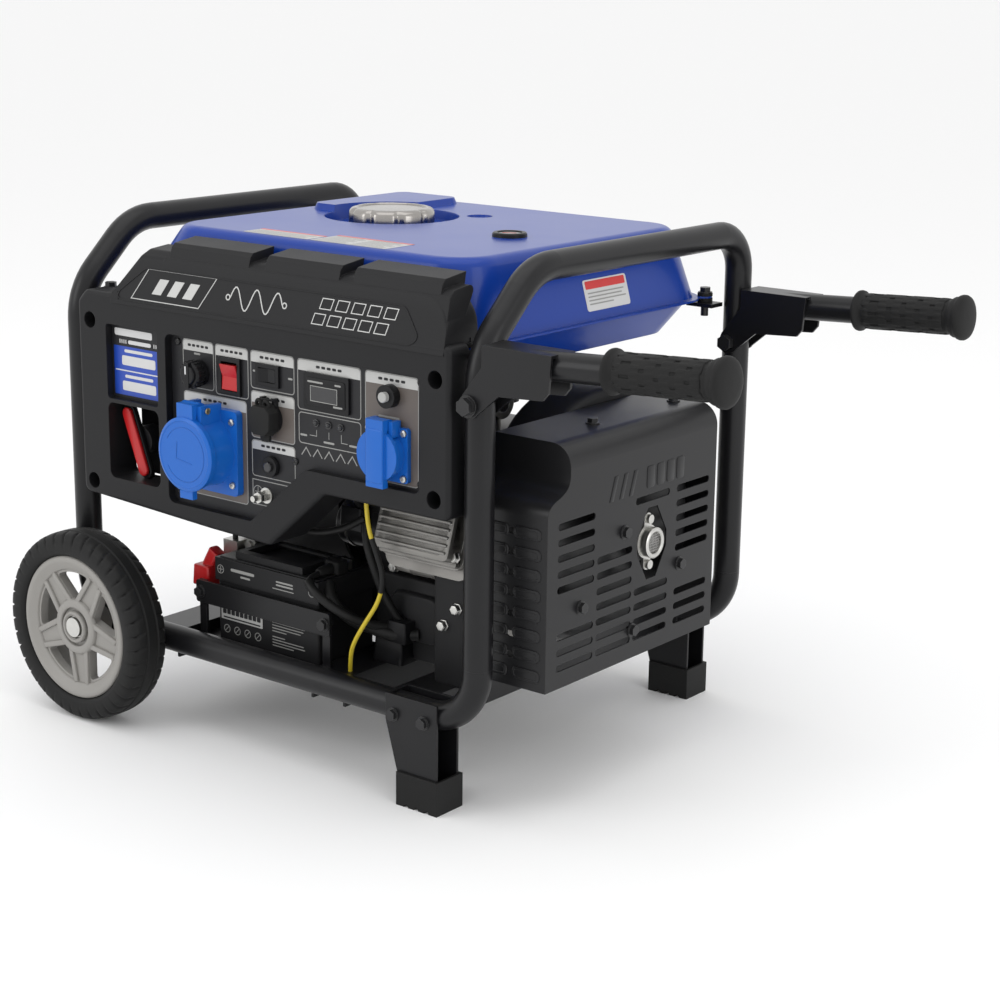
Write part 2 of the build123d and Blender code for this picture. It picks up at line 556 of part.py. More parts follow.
OUTLET_HINGE_Z = OUTLET[1] + 19.0
with BuildPart() as outlet:
    x, z = OUTLET
    add(rod((x, PLATE_Y, z), (0, -1, 0), 6, 15.0))
    add(rod((x, PLATE_Y, z), (0, 1, 0), 30, 12.0))
    add(rod((x, PLATE_Y - 10, z), (0, 1, 0), 34, 10.0), mode=Mode.SUBTRACT)
    add(rod((x - 9, PLATE_Y - 5, OUTLET_HINGE_Z), (1, 0, 0), 18, 1.2))
    add(block((x - 10, x - 6.5), (PLATE_Y - 6, PLATE_Y), (z + 8, OUTLET_HINGE_Z + 2)))
    add(block((x + 6.5, x + 10), (PLATE_Y - 6, PLATE_Y), (z + 8, OUTLET_HINGE_Z + 2)))
save(outlet.part, "low_voltage_outlet")

with BuildPart() as outlet_cover:
    x, z = OUTLET
    add(rod((x, PLATE_Y - 6 - GAP, z), (0, -1, 0), 12, 15.5))
    fillet(outlet_cover.faces().sort_by(Axis.Y)[0].edges(), 2)
    add(block((x - 5, x + 5), (PLATE_Y - 10, PLATE_Y - 6 - GAP), (z - 20, z - 10)))
    add(block((x - 6, x + 6), (PLATE_Y - 10, PLATE_Y - 6 - GAP), (z + 10, OUTLET_HINGE_Z)))
    add(rod((x - 6, PLATE_Y - 5, OUTLET_HINGE_Z), (1, 0, 0), 12, 3.6))
    add(rod((x - 10, PLATE_Y - 5, OUTLET_HINGE_Z), (1, 0, 0), 20, 1.2 + FIT), mode=Mode.SUBTRACT)
save(outlet_cover.part, "outlet_cover")

with BuildPart() as earth_terminal:
    x, z = EARTH
    add(rod((x, PLATE_Y + 20, z), (0, -1, 0), 40, 3.0))
    add(rod((x, PLATE_Y, z), (0, -1, 0), 1.4, 8.0))
    for start in (1.4, 8.5):
        with BuildSketch(Plane(origin=(x, PLATE_Y - start, z), z_dir=(0, -1, 0))):
            RegularPolygon(5.8, 6)
        extrude(amount=4.5)
save(earth_terminal.part, "earth_terminal")

# ---- recoil grip, behind the left window -------------------------------------------------------
GRIP_TOP = (-197.0, 332.0)
GRIP_LOW = (-172.0, 268.0)
GRIP_Y = -212.0
grip_dir = Vector(GRIP_LOW[0] - GRIP_TOP[0], 0, GRIP_LOW[1] - GRIP_TOP[1]).normalized()
grip_mid = ((GRIP_TOP[0] + GRIP_LOW[0]) / 2, (GRIP_TOP[1] + GRIP_LOW[1]) / 2)

with BuildPart() as recoil_grip:
    grip_plane = Plane(origin=(grip_mid[0], GRIP_Y, grip_mid[1]), x_dir=grip_dir, z_dir=(0, -1, 0))
    with BuildSketch(grip_plane):
        SlotOverall(72, 15)
    extrude(amount=9)
    fillet(recoil_grip.faces().sort_by(Axis.Y)[0].edges(), 2.5)
    with BuildSketch(grip_plane):
        Circle(6)
    extrude(amount=-9)
save(recoil_grip.part, "recoil_grip")

# ---- engine and alternator ---------------------------------------------------------------------
SHROUD_X = (-160.0, -12.0)
SHROUD_R = 118.0
axis_x = Axis((0, CRANK_Y, CRANK_Z), (1, 0, 0))

FEET_X = (72.0, 168.0)
FEET_Y = (-50.0, 92.0)

with BuildPart() as crankcase:
    add(block((4, 200), (-62, 104), (128, 318)))
    fillet(crankcase.edges().filter_by(Axis.X), 26)
    for x in FEET_X:
        for y in FEET_Y:
            add(block((x - 20, x + 20), (y - 14, y + 14), (118, 150)))
    add(rod((-10, CRANK_Y, CRANK_Z), (1, 0, 0), 220, 34), mode=Mode.SUBTRACT)
    add(rod((16, CRANK_Y, CRANK_Z), (1, 0, 0), 172, 70), mode=Mode.SUBTRACT)
    add(rod((2, CRANK_Y, CRANK_Z), (1, 0, 0), 14, 36, 18))
    add(rod((188, CRANK_Y, CRANK_Z), (1, 0, 0), 12, 36, 18))
save(crankcase.part, "crankcase")

CYL_TILT = 18.0
CYL_X = 158.0
cyl_axis = Vector(0, -cos(radians(CYL_TILT)), sin(radians(CYL_TILT)))
cyl_base = Vector(CYL_X, -60, 235)


def on_cylinder(distance):
    """Plane square to the cylinder axis, at a distance from the crankcase."""
    return Plane(origin=cyl_base + cyl_axis * distance, x_dir=(1, 0, 0), z_dir=cyl_axis)


with BuildPart() as cylinder:
    with BuildSketch(on_cylinder(-6)):
        Circle(42)
    extrude(amount=98)
    for step in range(10):
        with BuildSketch(on_cylinder(12 + step * 8)):
            RectangleRounded(108, 108, 14)
        extrude(amount=2.6)
    add(block((90, 226), (-62, 40), (100, 360)), mode=Mode.SUBTRACT)
save(cylinder.part, "cylinder_head")

with BuildPart() as valve_cover:
    with BuildSketch(on_cylinder(92)):
        RectangleRounded(104, 88, 10)
    extrude(amount=5)
    with BuildSketch(on_cylinder(97)):
        RectangleRounded(94, 76, 14)
    extrude(amount=20)
    fillet(valve_cover.faces().sort_by(Axis((0, 0, 0), tuple(cyl_axis)))[-1].edges(), 5)
save(valve_cover.part, "valve_cover")

with BuildPart() as spark_plug:
    tip = cyl_base + cyl_axis * 78 + Vector(-54.5, 0, 0)
    add(rod(tuple(tip), (-1, 0, 0), 10, 10))
    add(rod(tuple(tip + Vector(-10, 0, 0)), (-1, 0, 0), 24, 8))
save(spark_plug.part, "spark_plug")

with BuildPart() as crankshaft:
    add(rod((-150, CRANK_Y, CRANK_Z), (1, 0, 0), 342, 18 - FIT))
    for x in (66, 100):
        add(rod((x, CRANK_Y, CRANK_Z), (1, 0, 0), 14, 58))
    add(rod((78, CRANK_Y + 34, CRANK_Z), (1, 0, 0), 24, 16))
save(crankshaft.part, "crankshaft")

with BuildPart() as stator:
    add(rod((-62, CRANK_Y, CRANK_Z), (1, 0, 0), 48, 70, 30))
    add(rod((-14, CRANK_Y, CRANK_Z), (1, 0, 0), 16, 46, 24))
save(stator.part, "stator")

with BuildPart() as flywheel:
    add(rod((-80, CRANK_Y, CRANK_Z), (1, 0, 0), 62, 88, 74))
    add(rod((-92, CRANK_Y, CRANK_Z), (1, 0, 0), 14, 88, 18 - FIT))
    for step in range(12):
        angle = step * 30
        fin = block((-108, -90), (CRANK_Y + 40, CRANK_Y + 86), (CRANK_Z - 1.5, CRANK_Z + 1.5))
        add(fin.rotate(axis_x, angle))
save(flywheel.part, "flywheel_rotor")

with BuildPart() as fan_shroud:
    add(rod((SHROUD_X[0], CRANK_Y, CRANK_Z), (1, 0, 0), SHROUD_X[1] - SHROUD_X[0], SHROUD_R))
    fillet(fan_shroud.faces().sort_by(Axis.X)[0].edges(), 12)
    offset(amount=-3, openings=fan_shroud.faces().sort_by(Axis.X)[-1])
    add(rod((SHROUD_X[0] - 2, CRANK_Y, CRANK_Z), (1, 0, 0), 8, 78), mode=Mode.SUBTRACT)
save(fan_shroud.part, "fan_shroud")

with BuildPart() as rope_guide:
    add(rod((grip_mid[0], -196, grip_mid[1]), (0, 1, 0), 150, 12, 8))
    add(rod((grip_mid[0], GRIP_Y + GAP, grip_mid[1]), (0, 1, 0), 18, 15, 6.5))

with BuildPart() as recoil_housing:
    add(rod((-192, CRANK_Y, CRANK_Z), (1, 0, 0), 32, 92))
    fillet(recoil_housing.faces().sort_by(Axis.X)[0].edges(), 14)
    offset(amount=-4, openings=recoil_housing.faces().sort_by(Axis.X)[-1])
    for step in range(10):
        hole = rod((-196, CRANK_Y + 62, CRANK_Z), (1, 0, 0), 20, 7)
        add(hole.rotate(axis_x, step * 36), mode=Mode.SUBTRACT)
    add(rope_guide.part)
save(recoil_housing.part, "recoil_housing")

STARTER = (-88.0, 222.0)
SOLENOID_Z = 260.0

with BuildPart() as starter_motor:
    y, z = STARTER
    add(rod((-4, y, z), (1, 0, 0), 70, 25))
    fillet(starter_motor.faces().sort_by(Axis.X)[0].edges(), 4)
    add(rod((6, y, SOLENOID_Z), (1, 0, 0), 52, 14))
    add(rod((30, y - 10, SOLENOID_Z), (0, -1, 0), 10, 4))
    add(block((6, 56), (y - 4, -62), (z - 14, SOLENOID_Z)))
save(starter_motor.part, "starter_motor")

with BuildPart() as air_cleaner:
    add(block((-6, 100), (-52, 74), (338, 398)))
    fillet(air_cleaner.edges().filter_by(Axis.Z), 18)
    fillet(air_cleaner.faces().sort_by(Axis.Z)[-1].edges(), 8)
save(air_cleaner.part, "air_cleaner")

with BuildPart() as carburettor:
    add(rod((100, -20, 356), (1, 0, 0), 44, 17, 10))
    add(rod((122, -20, 318), (0, 0, 1), 30, 15))
    add(block((108, 136), (-38, -2), (340, 372)))
    add(rod((98, -20, 356), (1, 0, 0), 50, 10), mode=Mode.SUBTRACT)
save(carburettor.part, "carburettor")

with BuildPart() as inverter:
    add(block((-112, 62), (-176, -148), (276, 404)))
    for step in range(15):
        x = -110 + step * 12.0
        add(block((x, x + 2.5), (-148, -130), (278, 402)))
save(inverter.part, "inverter_module")

with BuildPart() as rubber_mounts:
    for x in FEET_X:
        for y in FEET_Y:
            add(rod((x, y, CROSS_TOP), (0, 0, 1), 18, 16))
    for x in (-TANK_BOLT[0], TANK_BOLT[0]):
        for y in (-TANK_BOLT[1], TANK_BOLT[1]):
            add(rod((x, y, 444), (0, 0, 1), 4, 8, 4.1))
            add(rod((x, y, 450), (0, 0, 1), 3, 8, 4.1))
save(rubber_mounts.part, "rubber_mounts")

# ---- muffler and its guard ---------------------------------------------------------------------
GUARD_LOW, GUARD_HIGH = 131.0, 362.0
GUARD_Y = (-184.0, 96.0)
GUARD_T = 1.6
SHELF_Y = -150.0
SLOT_TOP, SLOT_PITCH, SLOT_H = 288.0, 15.2, 7.0
SLOT_COLUMNS = [(-139.0, (0, 1, 2, 3, 4, 7, 8, 9)), (-77.0, (3, 4, 5, 6, 7, 8, 9)), (-15.0, (0, 6, 7, 8, 9)),
                (55.0, (0, 1, 2, 3, 4, 7, 8, 9))]
OUTLET_AT = (-15.0, 242.0)
GUARD_BOLTS = [(-62.0, 262.0), (-131.0, 203.0), (34.0, 210.0), (-46.0, 160.0)]
GUARD_TOP_BOLTS = (-60.0, 78.0)


def guard_outline(inset):
    """End view of the guard: the front side steps in near the top by a smooth double curve."""
    low_y, high_y = GUARD_Y[0] + inset, GUARD_Y[1] - inset
    shelf = SHELF_Y + inset
    top = GUARD_HIGH - inset
    bottom = GUARD_LOW - (20 if inset else 0)
    with BuildLine() as line:
        Line((low_y, bottom), (low_y, 298))
        Spline((low_y, 298), (low_y + 17, 315), (shelf, 334), tangents=[(0, 1), (0, 1)])
        Line((shelf, 334), (shelf, top))
        Polyline((shelf, top), (high_y, top), (high_y, bottom), (low_y, bottom))
    return line.line


with BuildPart() as guard_hollow:
    with BuildSketch(side_plane(230)):
        add(guard_outline(GUARD_T))
        make_face()
    extrude(amount=GUARD_X - GUARD_T - 230)
    fillet(guard_hollow.faces().sort_by(Axis.X)[-1].edges().sort_by(Axis.Z)[-1], 22 - GUARD_T)

with BuildPart() as muffler_guard:
    with BuildSketch(side_plane(236)):
        add(guard_outline(0))
        make_face()
    extrude(amount=GUARD_X - 236)
    fillet(muffler_guard.faces().sort_by(Axis.X)[-1].edges().sort_by(Axis.Z)[-1], 22)
    add(guard_hollow.part, mode=Mode.SUBTRACT)
    for y, rows in SLOT_COLUMNS:
        for row in rows:
            with BuildSketch(side_plane(GUARD_X + 1)):
                with Locations((y, SLOT_TOP - row * SLOT_PITCH)):
                    SlotOverall(58, SLOT_H)
            extrude(amount=-10, mode=Mode.SUBTRACT)
    with BuildSketch(side_plane(GUARD_X + 1)):
        with BuildLine():
            y, z = OUTLET_AT
            Polyline((y - 8, z + 36), (y + 8, z + 36), (y + 25, z + 8), (y + 25, z - 8), (y + 8, z - 36),
                     (y - 8, z - 36), (y - 25, z - 8), (y - 25, z + 8), (y - 8, z + 36))
        make_face()
    extrude(amount=-10, mode=Mode.SUBTRACT)
    for y, z in GUARD_BOLTS:
        add(rod((GUARD_X + 1, y, z), (-1, 0, 0), 6, 3.0), mode=Mode.SUBTRACT)
    for y in GUARD_TOP_BOLTS:
        add(rod((284, y, GUARD_HIGH + 1), (0, 0, -1), 6, 3.0), mode=Mode.SUBTRACT)
    for x in (262, 296):
        for row in range(7):
            with BuildSketch(front_plane(GUARD_Y[0] - 1)):
                with Locations((x - 3, 282 - row * 20)):
                    SlotOverall(26, 6)
            extrude(amount=-6, mode=Mode.SUBTRACT)
save(muffler_guard.part, "muffler_guard")


def muffler_drum(inset):
    """The pressed drum, or with an inset the space inside it."""
    with BuildPart() as drum:
        with BuildSketch(side_plane(242 + inset)):
            with Locations((-40, 246)):
                RectangleRounded(236 - 2 * inset, 176 - 2 * inset, 60 - inset)
        extrude(amount=66 - 2 * inset)
        fillet(drum.faces().sort_by(Axis.X)[-1].edges(), 12 - inset)
        fillet(drum.faces().sort_by(Axis.X)[0].edges(), 12 - inset)
    return drum.part


with BuildPart() as muffler:
    y, z = OUTLET_AT
    add(muffler_drum(0))
    add(rod((306, y, z), (1, 0, 0), 12, 20))
    add(bent_tube([(212.2, -118, 262), (228, -118, 262), (246, -104, 262)], [16], 13))
    add(muffler_drum(2), mode=Mode.SUBTRACT)
    add(rod((300, y, z), (1, 0, 0), 30, 11), mode=Mode.SUBTRACT)
save(muffler.part, "muffler")

with BuildPart() as spark_arrestor:
    y, z = OUTLET_AT
    plate = Plane(origin=(318, y, z), x_dir=(0, 0, 1), z_dir=(1, 0, 0))
    with BuildSketch(plate):
        Circle(17)
        SlotCenterToCenter(46, 12)
    extrude(amount=3)
    add(rod((321, y, z), (1, 0, 0), 9, 15, 11))
    add(rod((321, y, z), (1, 0, 0), 4, 11))
    for step in (-23, 23):
        add(rod((321, y, z + step), (1, 0, 0), 4, 4.5))
save(spark_arrestor.part, "spark_arrestor")

# ---- fuel tank ---------------------------------------------------------------------------------
CAP_AT = (-50.0, 30.0)
GAUGE_AT = (145.0, -15.0)
SEAM_RECT = (-232.0, 244.0, -198.0, 206.0)
TOP_RECT = (-174.0, 222.0, -178.0, 186.0)
PAN_RECT = (-204.0, 216.0, -172.0, 180.0)


def rect_sketch(rect, z, radius, inset=0.0):
    """A rounded rectangle between two corners at height z."""
    low_x, high_x, low_y, high_y = rect
    plane = Plane.XY.offset(z)
    with BuildSketch(plane) as drawn:
        with Locations(((low_x + high_x) / 2, (low_y + high_y) / 2)):
            RectangleRounded(high_x - low_x - 2 * inset, high_y - low_y - 2 * inset, radius - inset)
    return drawn.sketch


with BuildPart() as tank_outside:
    add(rect_sketch(SEAM_RECT, TANK_SEAM_Z, 52))
    add(rect_sketch(TOP_RECT, TANK_TOP_Z, 44))
    loft()
    fillet(tank_outside.faces().sort_by(Axis.Z)[-1].edges(), 12)

with BuildPart() as tank_inside:
    add(rect_sketch(SEAM_RECT, TANK_SEAM_Z, 52, 1.5))
    add(rect_sketch(TOP_RECT, TANK_TOP_Z - 1.5, 44, 1.5))
    loft()
    fillet(tank_inside.faces().sort_by(Axis.Z)[-1].edges(), 10)

with BuildPart() as pan_outside:
    add(rect_sketch(SEAM_RECT, TANK_SEAM_Z, 52, 6))
    add(rect_sketch(PAN_RECT, 414, 44))
    loft()

with BuildPart() as pan_inside:
    add(rect_sketch(SEAM_RECT, TANK_SEAM_Z, 52, 7.5))
    add(rect_sketch(PAN_RECT, 415.5, 44, 1.5))
    loft()

PAD_MIDDLE = (-115.0, 95.0)
PAD_SIZE = (90.0, 158.0)
DISH_R = 74.0
DIMPLE_AT = (20.0, 92.0)


def tank_dish(centre, radius, depth):
    """A tapered cup pressed down into the tank top."""
    with BuildPart() as dish:
        with BuildSketch(Plane.XY.offset(TANK_TOP_Z + 10)):
            with Locations(centre):
                Circle(radius)
        extrude(amount=-10 - depth, taper=12)
    return dish.part


with BuildPart() as fuel_tank:
    add(tank_outside.part)
    add(pan_outside.part)
    add(rect_sketch(SEAM_RECT, TANK_SEAM_Z, 52, -6))
    extrude(amount=2)
    for x in (-TANK_BOLT[0], TANK_BOLT[0]):
        for y in (-TANK_BOLT[1], TANK_BOLT[1]):
            near_x, near_y = 200 * (1 if x > 0 else -1), 160 * (1 if y > 0 else -1)
            with BuildSketch(Plane.XY.offset(TANK_SEAM_Z)):
                ear_tip = Edge.make_circle(7.5, Plane((x, y, 0)))
                ear_root = Edge.make_circle(9, Plane((near_x, near_y, 0)))
                make_hull([ear_tip, ear_root])
            extrude(amount=2)
    add(tank_inside.part, mode=Mode.SUBTRACT)
    add(pan_inside.part, mode=Mode.SUBTRACT)
    with BuildSketch(Plane.XY.offset(TANK_TOP_Z - 1.5)):
        with Locations(PAD_MIDDLE):
            RectangleRounded(PAD_SIZE[0], PAD_SIZE[1], 16)
    extrude(amount=8, taper=25)
    for centre, radius, depth in ((CAP_AT, DISH_R, 10), (DIMPLE_AT, 16, 2)):
        with BuildSketch(Plane.XY.offset(TANK_TOP_Z - depth - 2)):
            with Locations(centre):
                Circle(radius)
        extrude(amount=depth + 1.5)
        add(tank_dish(centre, radius, depth), mode=Mode.SUBTRACT)
    add(rod((CAP_AT[0], CAP_AT[1], TANK_TOP_Z - 12), (0, 0, 1), 12, 33))
    add(rod((CAP_AT[0], CAP_AT[1], TANK_TOP_Z - 30), (0, 0, 1), 60, 29), mode=Mode.SUBTRACT)
    add(rod((GAUGE_AT[0], GAUGE_AT[1], TANK_TOP_Z - 1.5), (0, 0, 1), 3.5, 16.5))
    add(rod((GAUGE_AT[0], GAUGE_AT[1], TANK_TOP_Z + 1), (0, 0, 1), 4, 13), mode=Mode.SUBTRACT)
    for x in (-TANK_BOLT[0], TANK_BOLT[0]):
        for y in (-TANK_BOLT[1], TANK_BOLT[1]):
            add(rod((x, y, 440), (0, 0, 1), 20, 4.1), mode=Mode.SUBTRACT)
save(fuel_tank.part, "fuel_tank")

with BuildPart() as fuel_cap:
    x, y = CAP_AT
    with BuildSketch(Plane.XY.offset(TANK_TOP_Z - 9)):
        with Locations((x, y)):
            Circle(46)
            with PolarLocations(47.5, 9):
                Circle(3.5, mode=Mode.SUBTRACT)
    extrude(amount=19)
    fillet(fuel_cap.faces().sort_by(Axis.Z)[-1].outer_wire().edges(), 2)
    add(rod((x, y, TANK_TOP_Z - 10), (0, 0, 1), 13, 42, 0), mode=Mode.SUBTRACT)
    add(rod((x, y, TANK_TOP_Z - 14), (0, 0, 1), 20, 28.7))
save(fuel_cap.part, "fuel_cap")

# ---- battery -----------------------------------------------------------------------------------
LID_Z = BATTERY[2][1]

with BuildPart() as battery_case:
    add(block((BATTERY[0][0] + 2, BATTERY[0][1] - 2), (BATTERY[1][0] + 2, BATTERY[1][1] - 2), (88, 164)))
    fillet(battery_case.edges().filter_by(Axis.Z), 3)
    add(block(BATTERY[0], BATTERY[1], (160, LID_Z)))
    add(block((-84, -80), (-150, -120), (LID_Z, LID_Z + 9)))
    add(block((16, 20), (-150, -120), (LID_Z, LID_Z + 9)))
    add(rod((-83, -126, LID_Z + 5), (1, 0, 0), 102, 2.0))
save(battery_case.part, "battery_case")

with BuildPart() as battery_handle:
    add(block((-79.5, -72), (-182, -126), (LID_Z + GAP, LID_Z + 9)))
    add(block((8, 15.5), (-182, -126), (LID_Z + GAP, LID_Z + 9)))
    add(block((-79.5, 15.5), (-182, -172), (LID_Z + GAP, LID_Z + 9)))
    add(rod((-79.5, -126, LID_Z + 5), (1, 0, 0), 7.5, 4.6))
    add(rod((8, -126, LID_Z + 5), (1, 0, 0), 7.5, 4.6))
    add(rod((-90, -126, LID_Z + 5), (1, 0, 0), 120, 2.0 + FIT), mode=Mode.SUBTRACT)
save(battery_handle.part, "battery_handle")

with BuildPart() as battery_terminals:
    for x in (-94, 31):
        add(block((x - 7, x + 7), (-146, -132), (LID_Z, LID_Z + 11)))
        add(rod((x, -146, LID_Z + 5.5), (0, -1, 0), 4, 5))
    add(block((-122, -101.5), (-158, -142), (LID_Z + 0.2, LID_Z + 10)))
    add(block((-122, -104.2), (-158, -142), (LID_Z - 18, LID_Z + 0.2)))
save(battery_terminals.part, "battery_terminals")

with BuildPart() as battery_clamp:
    add(block((-126, 64), (-195, -192), (CLAMP_Z - 12, CLAMP_Z + 12)))
    fillet(battery_clamp.edges().filter_by(Axis.Y), 3)
    for x in CLAMP_X:
        add(rod((x, -198, CLAMP_Z), (0, 1, 0), 20, 3.1), mode=Mode.SUBTRACT)
save(battery_clamp.part, "battery_clamp")

LEAD_R = 3.0

with BuildPart() as battery_leads:
    add(cord([(-112, -150, 194), (-112, -150, 218), (-108, -132, 240), (-84, -122, 258), (-36, -124, 266),
              (8, -138, 264), (30, -132, 260), (30, -108, 260)], LEAD_R, "positive lead"))
    add(cord([(31, -150, 189.5), (31, -178, 189.5), (35, -197, 186), (58, -199, 172), (82, -178, 150),
              (102, -138, 136), (124, -104, 148), (124, -86, 160), (124, -62, 160)], LEAD_R, "negative lead"))
save(battery_leads.part, "battery_leads")

with BuildPart() as earth_wire:
    add(cord([(122, -204, RIGHT_SILL_Z), (122, -203, 262), (130, -197, 232), (134, -192, 208),
              (126, -190, 182), (106, -190, 154), (92, -190, 132), (86, -188, 116),
              (84, -186, CROSS_TOP)], 2.2, "earth wire"))
save(earth_wire.part, "earth_wire")

with BuildPart() as fuel_hose:
    add(cord([(60, 112, 414), (60, 112, 388), (82, 100, 368), (116, 68, 360), (122, 30, 358), (122, -2, 358)],
             3.5, "fuel hose"))
save(fuel_hose.part, "fuel_hose")

# ---- fasteners ---------------------------------------------------------------------------------
with BuildPart() as frame_bolts:
    for x in LEG_BOLT_X:
        for side in (-1, 1):
            add(hex_bolt((x, side * LEG_OUT, RAIL_Z - 4), (0, side, 0), 10, 3.0, 2 * TUBE_R + 8))
    for x in (-TANK_BOLT[0], TANK_BOLT[0]):
        for y in (-TANK_BOLT[1], TANK_BOLT[1]):
            add(hex_bolt((x, y, 453), (0, 0, 1), 11, 4.0, 24))
    for y, z in GUARD_BOLTS:
        add(hex_bolt((GUARD_X, y, z), (1, 0, 0), 10, 2.9, GUARD_T + 3))
    for y in GUARD_TOP_BOLTS:
        add(hex_bolt((284, y, GUARD_HIGH), (0, 0, 1), 10, 2.9, GUARD_T + 3))
    for x in CLAMP_X:
        add(hex_bolt((x, -195, CLAMP_Z), (0, -1, 0), 10, 3.0, 10))
    for x, z in DEEP_HOLES:
        add(hex_bolt((x, FACE_Y + 25, z), (0, -1, 0), 9, 3.0, 10))
    for side in (-1, 1):
        seat = side * (POST_Y + EAR_IN + EAR_T + 0.1)
        add(hex_bolt((POST_X, seat, PIVOT_Z), (0, side, 0), 15, 5.0, 2 * (EAR_IN + EAR_T) + 1))
        nut_y = side * (POST_Y - EAR_IN - EAR_T - 0.1)
        with BuildSketch(Plane(origin=(POST_X, nut_y, PIVOT_Z), z_dir=(0, -side, 0))):
            RegularPolygon(8.5, 6)
        extrude(amount=7)
save(frame_bolts.part, "frame_bolts")

with BuildPart() as panel_screws:
    spots = [(x, z, PLATE_Y) for x, z in PLATE_SCREWS]
    for (x, z), half_x, half_z, face in ((SMALL_SOCKET, 21.5, 21.5, 5), (BIG_SOCKET, 33, 32, 8)):
        spots += [(x + a, z + b, PLATE_Y - face) for a in (-half_x, half_x) for b in (-half_z, half_z)]
    for x, z, y in spots:
        add(rod((x, y, z), (0, -1, 0), 2.4, 3.6))
        if y == PLATE_Y:
            add(rod((x, y, z), (0, 1, 0), 8, 2.0))
save(panel_screws.part, "panel_screws")
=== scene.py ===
"""The looks of the wheeled inverter generator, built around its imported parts."""
import math

import bmesh
import bpy
from mathutils import Matrix, Vector


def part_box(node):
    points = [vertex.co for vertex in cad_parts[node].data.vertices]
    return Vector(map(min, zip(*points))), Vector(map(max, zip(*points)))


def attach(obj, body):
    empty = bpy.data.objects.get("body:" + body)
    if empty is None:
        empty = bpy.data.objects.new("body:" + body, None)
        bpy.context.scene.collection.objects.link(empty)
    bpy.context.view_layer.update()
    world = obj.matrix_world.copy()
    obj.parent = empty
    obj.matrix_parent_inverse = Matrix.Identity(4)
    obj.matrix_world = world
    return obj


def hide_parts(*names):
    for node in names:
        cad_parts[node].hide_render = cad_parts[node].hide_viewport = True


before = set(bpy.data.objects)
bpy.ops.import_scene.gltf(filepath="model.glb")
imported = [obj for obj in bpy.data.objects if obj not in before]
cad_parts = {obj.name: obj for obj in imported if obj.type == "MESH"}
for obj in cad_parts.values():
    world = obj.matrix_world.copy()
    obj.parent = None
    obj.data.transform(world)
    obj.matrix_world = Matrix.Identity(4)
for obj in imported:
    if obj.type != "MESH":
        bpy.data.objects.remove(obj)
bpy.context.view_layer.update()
MM = 0.001
SHIFT_X = -102.45                     # millimetre sizes below are from the middle of the tube frame


def at(x, y, z):
    """A place on the machine, given in millimetres from the middle of the tube frame."""
    return Vector(((x + SHIFT_X) * MM, y * MM, z * MM))


# ---- camera, floor and light -------------------------------------------------------------------
VIEW_AZIMUTH, VIEW_ELEVATION, VIEW_ROLL = 38.28, 14.61, 0.71
LENS_MM = 75.8
CAMERA_AT = at(1434.1, -1658.8, 797.9)


def make_camera():
    """A long lens at the front right of the machine, a little above it."""
    azimuth, elevation, roll = (math.radians(v) for v in (VIEW_AZIMUTH, VIEW_ELEVATION, VIEW_ROLL))
    back = Vector((math.sin(azimuth) * math.cos(elevation), -math.cos(azimuth) * math.cos(elevation),
                   math.sin(elevation)))
    right = (-back).cross(Vector((0, 0, 1))).normalized()
    up = right.cross(-back)
    turned_right = math.cos(roll) * right + math.sin(roll) * up
    turned_up = math.cos(roll) * up - math.sin(roll) * right
    data = bpy.data.cameras.new("camera")
    data.lens, data.sensor_width = LENS_MM, 36.0
    data.clip_start, data.clip_end = 0.05, 400
    camera = bpy.data.objects.new("camera", data)
    matrix = Matrix((turned_right, turned_up, back)).transposed().to_4x4()
    matrix.translation = CAMERA_AT
    camera.matrix_world = matrix
    bpy.context.scene.collection.objects.link(camera)
    bpy.context.scene.camera = camera


def new_object(name, mesh):
    """A mesh object, linked to the scene."""
    made = bpy.data.objects.new(name, mesh)
    bpy.context.scene.collection.objects.link(made)
    return made


def soft_light(name, place, size, power):
    """A flat area light aimed at the middle of the machine."""
    data = bpy.data.lights.new(name, "AREA")
    data.shape, data.size, data.size_y = "RECTANGLE", size[0], size[1]
    data.energy = power
    light = bpy.data.objects.new(name, data)
    light.location = place
    light.rotation_euler = (Vector((0, 0, 0.25)) - Vector(place)).to_track_quat("-Z", "Y").to_euler()
    bpy.context.scene.collection.objects.link(light)


def make_studio():
    """Pale floor, pale surround and three large soft lights."""
    mesh = bpy.data.meshes.new("floor")
    reach = 200.0
    mesh.from_pydata([(-reach, -reach, 0), (reach, -reach, 0), (reach, reach, 0), (-reach, reach, 0)], [],
                     [(0, 1, 2, 3)])
    floor = new_object("floor", mesh)
    paint = bpy.data.materials.new("pale floor")
    paint.use_nodes = True
    shader = paint.node_tree.nodes["Principled BSDF"]
    shader.inputs["Base Color"].default_value = (0.93, 0.93, 0.93, 1)
    shader.inputs["Roughness"].default_value = 0.9
    shader.inputs["Specular IOR Level"].default_value = 0.1
    mesh.materials.append(paint)
    world = bpy.data.worlds.new("surround")
    world.use_nodes = True
    world.node_tree.nodes["Background"].inputs[0].default_value = (1, 1, 1, 1)
    world.node_tree.nodes["Background"].inputs[1].default_value = 1.0
    bpy.context.scene.world = world
    soft_light("overhead", (0.2, -0.3, 2.6), (2.4, 2.0), 12)
    soft_light("front", (-1.6, -2.6, 1.6), (1.4, 1.8), 16)
    soft_light("right", (3.0, -0.4, 1.2), (1.2, 1.8), 12)
    bpy.context.scene.view_settings.view_transform = "Standard"


make_camera()
make_studio()


